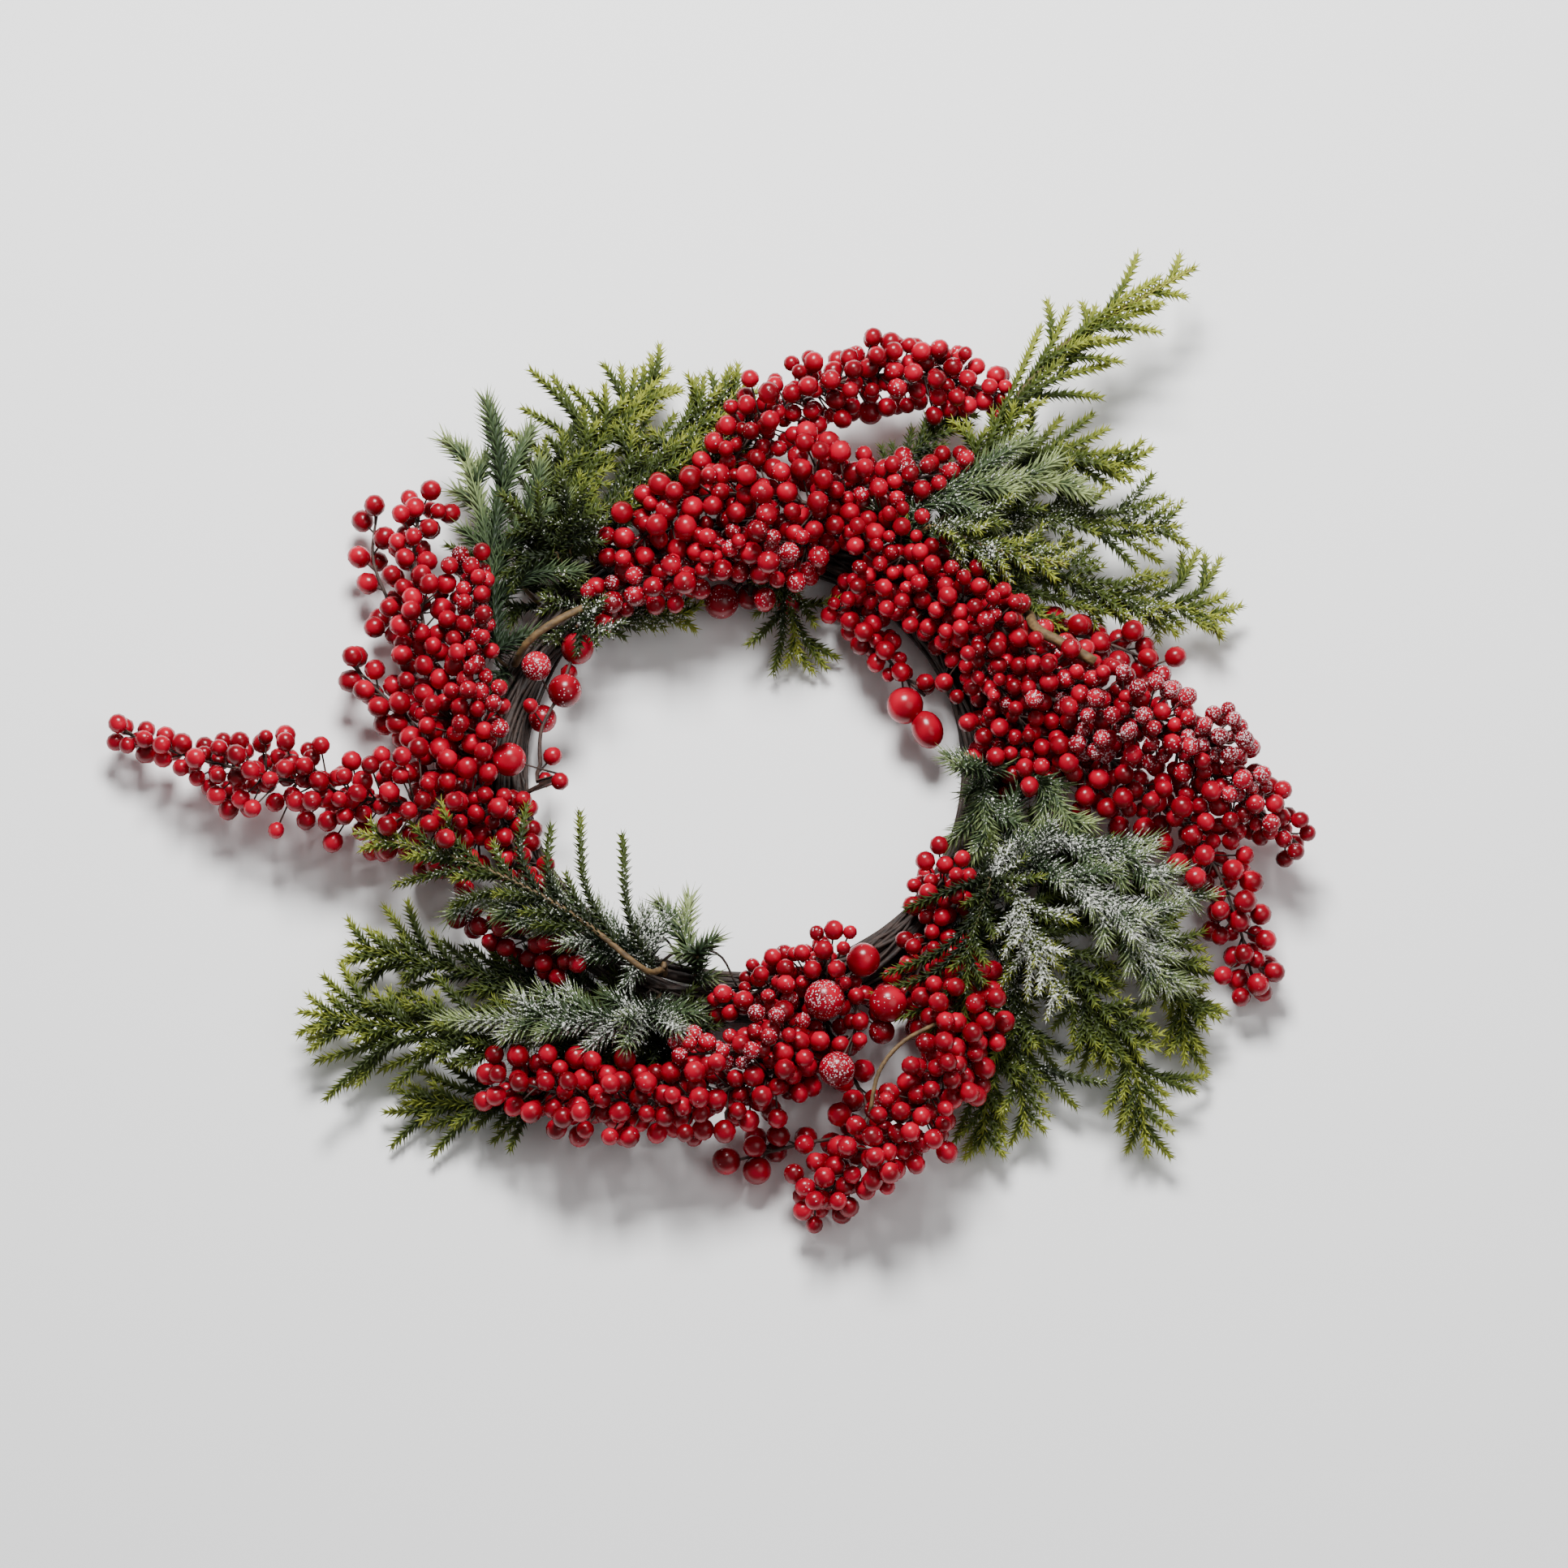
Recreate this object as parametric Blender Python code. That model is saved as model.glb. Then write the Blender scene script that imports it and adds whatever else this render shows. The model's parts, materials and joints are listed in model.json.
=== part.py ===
"""A berry wreath that lies on its back: a ring of twisted brown twigs, sprays of pine and fir needles,
and stems of red berries. Each spray and each berry stem is one solid that starts on the ring.

The routes below are in millimetres from the ring's centre: across, up the wreath's face, and the
height over the surface that it lies on. The model itself is in metres.
"""
import math
from collections import namedtuple

import bmesh
import bpy
import numpy as np
from mathutils import Matrix, Quaternion, Vector
from mathutils.bvhtree import BVHTree

MILLIMETRE = 0.001

RING_RADIUS = 120
RING_THICKNESS = 26
RING_CENTRE_HEIGHT = 12.6
RING_FLAT_BELOW = 1.0
RING_LOBES = 5
RING_LOBE_HEIGHT = 0.9
RING_TWISTS = 6
RING_SIDES = 11
RING_STEPS = 42

SEAT_GAPS = (0.3, 0.45, 0.6, 0.75)
SEAT_CLEARANCE = 0.15
SEAT_RISE = 7
SEAT_SKIP = 13
SEAT_TURN = 2
SEAT_TRIES = 21
SEAT_POINTS = 9
SEAT_ROOM = 6.0
DECIMALS = 4
LINE_STEP = 4
FINE_STEP = 1.0
CURVE_SAMPLES = 24
DETOURS = (0, 2.5, -2.5, 5, -5, 8, 11, 15)
DETOUR_POINTS = 5
SHOOT_FORWARD = 0.18

SETTLE_ROUNDS = 120
PAIRS_EVERY = 10
PAIR_SLACK = 10
SETTLE_SHARE = 0.45
SIDEWAYS_SHARE = 0.45
OVER_OR_UNDER = 1.5
BUNCH_MARGIN = 2.2
SHOOT_MARGIN = 1.7
HOME_SHARE = 0.03
STIFF_POINTS = 3
GROUND_CLEARANCE = 1.0
SHORTEST_LINE = 4
CUT_BACK = 2
STEM_REACH = 12.0

SPRAY_STEM = (1.7, 0.9)
SHOOT_CORE = (1.3, 0.7)
BERRY_STEM = (2.0, 1.2)
BERRY_TUBE_SIDES = 3
STALK_RADIUS = 0.8
STALK_SIDES = 3
BARE_TUBE_STEP = 12
BARE_SHARE = 0.3
NEEDLE_SIDES = 3
TWIST = math.radians(2.2)
MOST_TWIST = math.radians(28)
SHOOT_BARE_SHARE = 0.18
JOINT_ROOM = 8
TIP_NEAR = 0.1

BERRY_COUNT_SHARE = 0.17
BERRIES_PER_WHORL = 2
WHORL_HALF_LENGTH = 0.9
FIRST_WHORL = 14
BERRY_REACHES = (1.0, 0.6, 0.8, 0.5, 0.9)
BERRY_LEANS = (0, 0.5, -0.5, 0.9, -0.9)
BERRY_SIZES = 10
BERRY_SIZE_STEP = 7
TIP_NARROWING = 0.4
SIDE_FACE_SLANT = 0.6
BERRY_GAP = 0.4
BERRY_FOOT = 0.5
BERRY_RINGS = ((-0.32, 0.93, 0), (0.36, 0.9, math.pi / 4))
LARGE_BERRY = 8.3
NEEDLE_TRIM = (1.0, 0.65, 0.35, 0.0)
RAY_STEP = 0.001
SOLVER = "MANIFOLD"

Needles = namedtuple("Needles", "colour reach sweep step")
SHORT = Needles((0.10, 0.19, 0.05), 4.2, 4.5, 17.0)
LONG = Needles((0.10, 0.21, 0.15), 9.5, 8.0, 18.0)
UP = Vector((0, 0, 1))
FROST_COLOUR = (0.80, 0.83, 0.82)
BERRY_COLOUR = (0.55, 0.01, 0.02)
RING_COLOUR = (0.060, 0.036, 0.026)

Spray = namedtuple("Spray", "name needles frost route shoots")
Bunch = namedtuple("Bunch", "name frost count spread radii route large")

SPRAYS = (
    Spray("fir_low_left_hem", SHORT, 0.0,
          ((-39, -152, 22), (-79, -164, 20), (-123, -175, 14), (-167, -174, 9)),
          ((0.45, (-123, -193, 8)), (0.62, (-155, -186, 8)), (0.75, (-176, -178, 8)),
           (0.6, (-159, -159, 14)))),
    Spray("fir_low_left_reach", SHORT, 0.1,
          ((-55, -143, 28), (-119, -147, 30), (-175, -139, 26), (-218, -130, 20)),
          ((0.72, (-207, -113, 24)), (0.55, (-210, -154, 16)), (0.45, (-179, -158, 14)),
           (0.8, (-214, -143, 16)), (0.4, (-167, -122, 26)), (0.65, (-195, -165, 10)))),
    Spray("fir_low_left_upper", SHORT, 0.0,
          ((-67, -118, 20), (-115, -114, 22), (-155, -106, 22), (-195, -94, 18)),
          ((0.6, (-177, -76, 20)), (0.7, (-195, -112, 16)), (0.45, (-148, -94, 22)),
           (0.5, (-175, -123, 16)))),
    Spray("fir_low_left_flocked", LONG, 0.85,
          ((-47, -142, 44), (-87, -143, 46), (-151, -140, 34)),
          ((0.35, (-87, -128, 46)), (0.5, (-111, -158, 34)))),
    Spray("fir_low_left_stub", LONG, 0.5,
          ((-24, -112, 28), (-29, -96, 32), (-27, -74, 30)),
          ((0.45, (-42, -76, 28)),)),
    Spray("fir_low_right_corner", SHORT, 0.0,
          ((118, -115, 24), (119, -157, 22), (116, -199, 12)),
          ((0.5, (103, -194, 12)), (0.6, (109, -172, 16)))),
    Spray("fir_low_right_bottom", SHORT, 0.35,
          ((131, -99, 28), (131, -142, 28), (138, -192, 16)),
          ((0.5, (162, -177, 14)), (0.4, (153, -160, 18)))),
    Spray("fir_low_right_tail", SHORT, 0.1,
          ((139, -88, 32), (165, -127, 34), (190, -163, 28), (197, -202, 16)),
          ((0.66, (183, -190, 16)), (0.66, (220, -171, 18)), (0.5, (165, -161, 20)),
           (0.42, (201, -140, 24)))),
    Spray("fir_low_right_edge", SHORT, 0.1,
          ((157, -62, 30), (189, -88, 32), (211, -116, 26), (216, -155, 16)),
          ((0.5, (225, -99, 24)), (0.6, (224, -120, 20)), (0.7, (224, -131, 16)))),
    Spray("fir_top_left_outer", SHORT, 0.0,
          ((-107, 88, 28), (-95, 129, 32), (-71, 168, 32), (-38, 208, 24)),
          ((0.5, (-111, 186, 26)), (0.5, (-96, 203, 26)), (0.6, (-87, 197, 28)), (0.7, (-62, 208, 26)),
           (0.72, (-46, 191, 24)), (0.4, (-119, 174, 26)))),
    Spray("fir_top_left_mid", SHORT, 0.2,
          ((-91, 99, 34), (-63, 135, 40), (-31, 166, 38), (3, 198, 30)),
          ((0.6, (-24, 199, 34)), (0.75, (-9, 203, 30)), (0.8, (7, 172, 32)), (0.5, (-63, 174, 38)))),
    Spray("fir_top_left_inner", SHORT, 0.45,
          ((-79, 107, 34), (-47, 133, 40), (-15, 152, 40), (11, 162, 36)),
          ((0.5, (-35, 160, 42)), (0.6, (-47, 168, 42)))),
    Spray("fir_top_left_blue", LONG, 0.05,
          ((-121, 50, 28), (-124, 75, 36), (-127, 105, 38), (-140, 163, 30)),
          ((0.45, (-106, 170, 40)), (0.4, (-87, 131, 43)), (0.28, (-82, 94, 39)))),
    Spray("fir_left_inner_low", SHORT, 0.5,
          ((-91, 70, 22), (-63, 77, 22), (-27, 79, 20)),
          ((0.3, (-81, 92, 36)), (0.6, (-47, 92, 24)))),
    Spray("fir_top_hanging", SHORT, 0.25,
          ((18, 100, 18), (22, 84, 16), (27, 57, 12)),
          ((0.2, (14, 51, 10)), (0.45, (40, 54, 10)), (0.3, (46, 86, 20)), (0.2, (5, 80, 16)))),
    Spray("fir_top_dark", SHORT, 0.0,
          ((67, 131, 34), (81, 155, 38), (111, 186, 32)),
          ((0.45, (83, 171, 36)),)),
    Spray("fir_right_lower_fan", SHORT, 0.35,
          ((129, 100, 30), (177, 86, 32), (209, 81, 26), (240, 76, 18)),
          ((0.7, (225, 111, 24)), (0.78, (236, 107, 22)), (0.5, (208, 71, 18)), (0.45, (209, 97, 28)),
           (0.4, (201, 62, 16)))),
    Spray("fir_right_mid_fan", SHORT, 0.4,
          ((121, 116, 34), (165, 122, 38), (193, 120, 34), (216, 122, 28)),
          ((0.6, (208, 137, 30)), (0.55, (206, 104, 26)), (0.4, (169, 145, 36)))),
    Spray("fir_right_upper_fan", SHORT, 0.1,
          ((113, 134, 30), (145, 152, 34), (173, 155, 32), (198, 154, 26)),
          ((0.45, (173, 182, 28)), (0.52, (180, 174, 28)), (0.6, (188, 162, 28)), (0.4, (157, 179, 30)))),
    Spray("fir_right_tall", SHORT, 0.0,
          ((109, 136, 38), (127, 172, 44), (157, 209, 48), (193, 234, 48), (224, 255, 42)),
          ((0.3, (147, 220, 50)), (0.62, (206, 247, 48)), (0.66, (206, 233, 44)),
           (0.55, (191, 217, 42)), (0.42, (181, 204, 40)), (0.5, (161, 229, 52)))),
    Spray("fir_right_under", SHORT, 0.1,
          ((113, 95, 44), (136, 76, 44), (159, 63, 38)),
          ((0.4, (171, 74, 38)), (0.3, (149, 95, 46)))),
    Spray("fir_right_blue", LONG, 0.4,
          ((85, 123, 48), (117, 136, 54), (164, 137, 48)),
          ((0.35, (142, 161, 50)), (0.3, (125, 114, 52)))),
    Spray("fir_right_olive", SHORT, 0.6,
          ((89, 111, 54), (125, 97, 60), (158, 92, 54)),
          ((0.4, (110, 81, 52)), (0.55, (131, 83, 54)), (0.3, (129, 111, 60)))),
    Spray("fir_low_right_blue_inner", LONG, 0.4,
          ((115, -13, 36), (118, -35, 40), (123, -61, 36)),
          ((0.35, (100, -47, 34)), (0.35, (139, -42, 38)))),
    Spray("fir_low_right_blue_outer", LONG, 0.4,
          ((141, -16, 44), (158, -38, 48), (171, -64, 44)),
          ((0.4, (145, -41, 46)),)),
    Spray("fir_low_right_flocked_outer", LONG, 0.85,
          ((149, -48, 44), (185, -60, 48), (222, -81, 40)),
          ((0.45, (201, -50, 46)),)),
    Spray("fir_low_right_flocked_mid", LONG, 0.85,
          ((145, -65, 50), (177, -87, 54), (208, -127, 44)),
          ((0.5, (209, -102, 48)),)),
    Spray("fir_low_right_white", SHORT, 1.0,
          ((131, -76, 52), (138, -97, 58), (154, -138, 50)),
          ((0.4, (127, -112, 54)), (0.4, (162, -95, 54)), (0.55, (138, -133, 50)),
           (0.6, (152, -118, 56)))),
    Spray("fir_low_right_fingers", SHORT, 0.15,
          ((120, -71, 50), (111, -105, 56), (107, -153, 46)),
          ((0.25, (79, -87, 50)), (0.45, (69, -121, 50)), (0.55, (63, -130, 46)),
           (0.7, (74, -142, 44)), (0.8, (89, -149, 44)))),
    Spray("fir_left_over_grey", LONG, 0.9,
          ((-51, -114, 44), (-83, -95, 50), (-111, -84, 48), (-139, -79, 42)),
          ((0.5, (-95, -74, 52)),)),
    Spray("fir_left_over_main", SHORT, 0.3,
          ((-47, -121, 54), (-79, -97, 60), (-123, -71, 58), (-191, -45, 44)),
          ((0.2, (-60, -51, 56)), (0.3, (-81, -40, 58)), (0.4, (-95, -47, 58)), (0.5, (-107, -36, 58)),
           (0.66, (-149, -33, 54)), (0.6, (-171, -73, 46)), (0.68, (-167, -60, 48)),
           (0.5, (-143, -85, 50)))),
)
BUNCHES = (
    Bunch("berry_left_wire_tall", 0.05, 10, 10, (4.6, 5.6),
          ((-148, 1, 22), (-161, 34, 24), (-175, 79, 24), (-185, 108, 22), (-183, 133, 22)),
          ()),
    Bunch("berry_left_wire_low", 0.05, 11, 9, (4.6, 5.6),
          ((-149, 0, 30), (-165, 17, 32), (-181, 34, 30), (-197, 52, 26)),
          ()),
    Bunch("berry_left_reach", 0.08, 58, 15, (3.6, 5.2),
          ((-143, -34, 36), (-187, -25, 38), (-236, -12, 36), (-276, 1, 28), (-309, 17, 20)),
          ()),
    Bunch("berry_left_upright", 0.15, 52, 15, (4.0, 5.4),
          ((-139, -3, 32), (-151, 29, 40), (-159, 65, 44), (-164, 96, 42), (-161, 133, 34)),
          ()),
    Bunch("berry_left_frost", 0.6, 34, 11, (3.2, 4.8),
          ((-129, 5, 46), (-136, 33, 52), (-137, 63, 52), (-135, 97, 46)),
          ()),
    Bunch("berry_left_large", 0.1, 3, 8, (3.6, 4.6),
          ((-105, -16, 28), (-100, 14, 34), (-92, 31, 34), (-85, 53, 32)),
          (((-116, -7, 44), 8.4), ((-89, 32, 36), 8.4), ((-83, 56, 32), 8.2), ((-103, 42, 44), 7.4),
           ((-100, 21, 26), 7.0))),
    Bunch("berry_left_under", 0.2, 18, 9, (3.6, 4.8),
          ((-125, -35, 38), (-111, -57, 40), (-100, -76, 38)),
          ()),
    Bunch("berry_low_left_row", 0.0, 24, 7, (3.8, 4.8),
          ((-87, -103, 28), (-111, -95, 30), (-139, -82, 28)),
          ()),
    Bunch("berry_top_arch", 0.35, 66, 12, (3.2, 5.4),
          ((-9, 143, 42), (27, 182, 50), (77, 195, 50), (127, 189, 38)),
          (((62, 180, 36), 6.4), ((75, 185, 34), 5.6))),
    Bunch("berry_top_left_upper", 0.35, 52, 14, (3.4, 5.6),
          ((37, 121, 50), (5, 128, 56), (-23, 127, 54), (-47, 113, 48), (-63, 96, 42)),
          ()),
    Bunch("berry_top_left_lower", 0.6, 52, 13, (3.4, 5.6),
          ((31, 107, 44), (5, 105, 50), (-23, 94, 48), (-51, 88, 42), (-74, 79, 36)),
          ()),
    Bunch("berry_top_centre", 0.25, 18, 11, (4.0, 5.8),
          ((38, 126, 46), (35, 141, 58), (34, 162, 58)),
          ()),
    Bunch("berry_top_right_short", 0.6, 28, 10, (3.4, 4.8),
          ((53, 132, 48), (79, 137, 52), (108, 144, 48)),
          ()),
    Bunch("berry_top_hanging", 0.0, 2, 6, (3.4, 4.4),
          ((3, 100, 20), (-7, 90, 18)),
          (((-12, 86, 18), 8.8), ((2, 90, 14), 6.4), ((22, 88, 12), 6.6))),
    Bunch("berry_right_inner_chain", 0.1, 24, 7, (3.2, 5.0),
          ((52, 88, 26), (62, 65, 28), (76, 45, 28), (89, 33, 26)),
          (((79, 28, 26), 9.2), ((90, 16, 24), 8.6))),
    Bunch("berry_right_band", 0.3, 64, 15, (3.2, 5.0),
          ((77, 95, 42), (101, 67, 48), (123, 33, 50), (138, 5, 46), (140, -20, 36)),
          ()),
    Bunch("berry_right_main", 0.45, 84, 18, (3.6, 5.4),
          ((105, 72, 48), (149, 38, 56), (193, 7, 58), (233, -19, 48), (272, -46, 30)),
          ()),
    Bunch("berry_right_snowy", 0.95, 56, 14, (3.4, 5.0),
          ((129, 36, 42), (169, 11, 54), (205, 7, 64), (235, -11, 60), (249, -28, 50)),
          ()),
    Bunch("berry_right_drop", 0.2, 60, 13, (3.6, 5.6),
          ((153, 12, 38), (193, -19, 42), (225, -50, 38), (241, -83, 28), (251, -119, 16)),
          ()),
    Bunch("berry_right_wire", 0.0, 10, 9, (4.6, 5.6),
          ((149, 63, 32), (181, 57, 34), (209, 44, 30)),
          ()),
    Bunch("berry_right_stub", 0.1, 30, 11, (3.2, 5.2),
          ((129, 14, 44), (157, -6, 48), (187, -33, 38)),
          ()),
    Bunch("berry_low_right_inner", 0.1, 30, 9, (3.2, 4.8),
          ((99, -72, 36), (90, -103, 38), (78, -129, 36)),
          (((87, -69, 34), 5.2),)),
    Bunch("berry_low_right_main", 0.35, 72, 17, (3.8, 5.4),
          ((107, -136, 40), (97, -170, 46), (71, -204, 40), (49, -223, 28), (29, -235, 16)),
          ()),
    Bunch("berry_low_right_large", 0.3, 6, 9, (3.4, 4.8),
          ((55, -136, 42), (51, -160, 42)),
          (((58, -110, 40), 8.4), ((39, -134, 50), 10.0), ((70, -134, 44), 9.4), ((45, -170, 50), 8.8),
           ((67, -145, 34), 6.4))),
    Bunch("berry_low_tail", 0.1, 9, 8, (4.6, 5.8),
          ((57, -192, 24), (25, -199, 20), (-5, -205, 14)),
          (((-9, -205, 14), 7.0), ((6, -210, 14), 7.0))),
    Bunch("berry_low_left_main", 0.2, 80, 15, (3.8, 5.4),
          ((25, -159, 40), (-15, -180, 44), (-67, -183, 42), (-124, -167, 30)),
          ()),
    Bunch("berry_low_frost", 0.8, 24, 8, (3.2, 4.6),
          ((19, -155, 50), (-7, -162, 54), (-33, -162, 48)),
          ()),
    Bunch("berry_low_inner_row", 0.4, 32, 10, (2.8, 4.8),
          ((41, -115, 34), (17, -122, 38), (-13, -134, 40)),
          ()),
)


def clear_scene():
    for item in list(bpy.data.objects):
        bpy.data.objects.remove(item)


def finish(name, colour, roughness):
    """A plain material of one colour for one object."""
    material = bpy.data.materials.new(name)
    material.use_nodes = True
    shader = material.node_tree.nodes["Principled BSDF"]
    shader.inputs["Base Color"].default_value = (*colour, 1)
    shader.inputs["Roughness"].default_value = roughness
    return material


def frosted(colour, frost):
    return tuple(plain + (white - plain) * frost for plain, white in zip(colour, FROST_COLOUR))


def smooth_line(points, step=LINE_STEP):
    """A smooth curve through the points, read off at even steps."""
    points = np.array(points, float)
    spans = np.linalg.norm(np.diff(points, axis=0), axis=1)[:, None]
    slopes = np.diff(points, axis=0) / spans
    inner = (slopes[:-1] * spans[1:] + slopes[1:] * spans[:-1]) / (spans[:-1] + spans[1:])
    tangents = np.vstack((slopes[:1], inner, slopes[-1:]))
    t = np.linspace(0, 1, CURVE_SAMPLES, endpoint=False)[:, None]
    runs = []
    for k, span in enumerate(spans):
        run = points[k] * (1 + 2 * t) * (1 - t) ** 2 + points[k + 1] * t * t * (3 - 2 * t)
        run += span * (tangents[k] * t * (1 - t) ** 2 + tangents[k + 1] * t * t * (t - 1))
        runs.append(run)
    return even_steps(np.vstack(runs + [points[-1:]]), step)


def even_steps(points, step):
    length = distances(points)[-1]
    return read_off(points, np.linspace(0, length, max(3, round(length / step) + 1)))


def read_off(points, stops):
    """The points that lie the given distances along a line."""
    along = distances(points)
    places = [np.interp(stops, along, points[:, axis]) for axis in range(3)]
    return np.column_stack(places).round(DECIMALS)


def distances(points):
    """How far along the line each of its points lies."""
    return np.concatenate(([0], np.cumsum(np.linalg.norm(np.diff(points, axis=0), axis=1))))


def bisectors(line):
    """A line's direction at each point, halfway between those to its next points some way off."""
    ways = np.zeros_like(line)
    off = min(2 * BERRY_STEM[0], np.linalg.norm(line[-1] - line[0]) / 2)
    for index, place in enumerate(line):
        away = np.linalg.norm(line - place, axis=1)
        for order, sign in ((range(index, len(line)), 1), (range(index, -1, -1), -1)):
            beyond = [other for other in order if away[other] > off]
            if beyond:
                ways[index] += sign * (line[beyond[0]] - place) / away[beyond[0]]
    return ways / np.linalg.norm(ways, axis=1)[:, None]


def heading(line, index):
    ahead = line[min(index + 1, len(line) - 1)] - line[max(index - 1, 0)]
    return ahead / np.linalg.norm(ahead)


def ring_shape():
    """The twisted ring: a circle spun round, raised in lobes that wind round it, and flat below."""
    ring = bmesh.new()
    place = Matrix.Translation((RING_RADIUS, 0, 0)) @ Matrix.Rotation(math.pi / 2, 4, "X")
    bmesh.ops.create_circle(ring, segments=RING_SIDES, radius=RING_THICKNESS / 2, matrix=place)
    bmesh.ops.spin(ring, geom=ring.verts[:] + ring.edges[:], axis=(0, 0, 1), cent=(0, 0, 0),
                   angle=2 * math.pi, steps=RING_STEPS, use_merge=True)
    for vert in ring.verts:
        round_ring = math.atan2(vert.co.y, vert.co.x)
        outward = math.hypot(vert.co.x, vert.co.y) - RING_RADIUS
        round_tube = math.atan2(vert.co.z, outward)
        lobe = RING_LOBE_HEIGHT * math.cos(RING_LOBES * round_tube - RING_TWISTS * round_ring)
        reach = RING_THICKNESS / 2 + lobe
        across = RING_RADIUS + reach * math.cos(round_tube)
        height = RING_CENTRE_HEIGHT + reach * math.sin(round_tube)
        if height < RING_FLAT_BELOW:
            height = 0
        vert.co = (across * math.cos(round_ring), across * math.sin(round_ring), height)
    bmesh.ops.triangulate(ring, faces=ring.faces[:])
    bmesh.ops.recalc_face_normals(ring, faces=ring.faces[:])
    return ring


class Line:
    """The centre line of a stem or side shoot: its start stays put while the rest can give way."""

    def __init__(self, owner, points, radii, margin, parent=None, index=0):
        self.owner = owner
        self.points = points
        self.home = points
        self.radii = radii
        self.margin = margin
        self.parent = parent
        self.index = index
        self.freedom = np.clip((np.arange(len(points)) - 1) / STIFF_POINTS, 0, 1)[:, None]
        self.move = np.zeros_like(points)
        self.number = None
        self.shape = None


def seated_line(ring_tree, route, taken):
    """A line from the ring through the route, seated where its first stretch has most room."""
    best = None
    for number in range(SEAT_TRIES):
        turn = SEAT_TURN * ((number + 1) // 2) * (-1) ** number
        start = Matrix.Rotation(math.radians(turn), 3, "Z") @ Vector(route[0])
        place = ring_tree.find_nearest(start)[0]
        normal = (place - ring_middle(place)).normalized()
        foot = place + normal * seat_gap(ring_tree, place, normal)
        rise = foot + normal * SEAT_RISE
        further = [Vector(point) for point in route if (Vector(point) - rise).length > SEAT_SKIP]
        line = smooth_line([foot, rise, *further])
        away = np.linalg.norm(line[:SEAT_POINTS, None] - taken[None], axis=2)
        room = away.min() if away.size else SEAT_ROOM
        if best is None or room > best[0]:
            best = (room, line)
        if room >= SEAT_ROOM:
            break
    return best[1]


def ring_middle(place):
    """The point on the ring's centre line that is nearest to a place."""
    across = math.hypot(place.x, place.y) / RING_RADIUS
    return Vector((place.x / across, place.y / across, RING_CENTRE_HEIGHT))


def seat_gap(ring_tree, place, normal):
    """The smallest gap that keeps a stem's flat end clear of the ring's uneven surface."""
    side = normal.orthogonal().normalized() * BERRY_STEM[0]
    for gap in SEAT_GAPS:
        for corner in range(6):
            rim = Matrix.Rotation(corner * math.pi / 3, 3, normal) @ side
            point = place + normal * gap + rim
            nearest = ring_tree.find_nearest(point)[0]
            middle = ring_middle(point)
            within = (point - middle).length < (nearest - middle).length
            if within or (point - nearest).length < SEAT_CLEARANCE:
                break
        else:
            return gap
    return SEAT_GAPS[-1]


def taper(line, thick, thin):
    return np.linspace(thick, thin, len(line))


def shoot_line(stem, share, tip):
    """A side shoot, which bends away from its stem towards its tip."""
    index = round(share * (len(stem.points) - 1))
    base = stem.points[index]
    end = np.array(tip, float)
    reach = end - base
    forward = heading(stem.points, index)
    bend = (base + end) / 2 + (forward * np.linalg.norm(reach) - reach) * SHOOT_FORWARD
    points = smooth_line([base, bend, end])
    return Line(stem.owner, points, taper(points, *SHOOT_CORE), SHOOT_MARGIN, stem, index)


def close_pairs(lines):
    """Points of different lines that could meet, apart from those where a shoot leaves its stem."""
    points = np.vstack([line.points for line in lines])
    reaches = np.concatenate([line.radii + line.margin for line in lines])
    names = [plan.name for plan in (*BUNCHES, *SPRAYS)]
    owners = np.concatenate([np.full(len(line.points), names.index(line.owner)) for line in lines])
    near_start = np.concatenate([line.freedom[:, 0] < 1 for line in lines])
    firsts, seconds = [], []
    start = 0
    for line in lines:
        end = start + len(line.points)
        away = np.linalg.norm(line.points[:, None] - points[None, end:], axis=2)
        near = away < reaches[start:end, None] + reaches[None, end:] + PAIR_SLACK
        same = owners[start] == owners[end:]
        starting = near_start[start:end, None] | near_start[None, end:]
        near &= ~(same[None] & starting)
        first, second = np.nonzero(near)
        firsts.append(first + start)
        seconds.append(second + end)
        start = end
    return np.concatenate(firsts), np.concatenate(seconds), reaches


def settle(lines):
    """Lets the lines push each other apart, mostly up and down, clear of the ring and the surface."""
    heights = np.concatenate([np.full(len(line.points), line.points[:, 2].mean()) for line in lines])
    for number in range(SETTLE_ROUNDS):
        if number % PAIRS_EVERY == 0:
            first, second, reaches = close_pairs(lines)
            above = np.sign(heights[first] - heights[second]) * OVER_OR_UNDER
        points = np.vstack([line.points for line in lines])
        apart = points[first] - points[second]
        apart[:, 2] += above
        away = np.linalg.norm(apart, axis=1) + 1e-6
        short = np.maximum(reaches[first] + reaches[second] - away, 0)
        push = apart * (short / away * SETTLE_SHARE)[:, None]
        moves = np.zeros_like(points)
        counts = np.ones(len(points))
        for side, sign in ((first, 1), (second, -1)):
            np.add.at(moves, side, push * sign)
            np.add.at(counts, side, short > 0)
        moves /= np.sqrt(counts)[:, None]
        moves[:, :2] *= SIDEWAYS_SHARE
        moves += ring_push(points, reaches)
        moves += (np.vstack([line.home for line in lines]) - points) * HOME_SHARE
        moves[:, 2] += np.maximum(reaches + GROUND_CLEARANCE - points[:, 2] - moves[:, 2], 0)
        start = 0
        for line in lines:
            end = start + len(line.points)
            shift_line(line, moves[start:end])
            start = end


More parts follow.
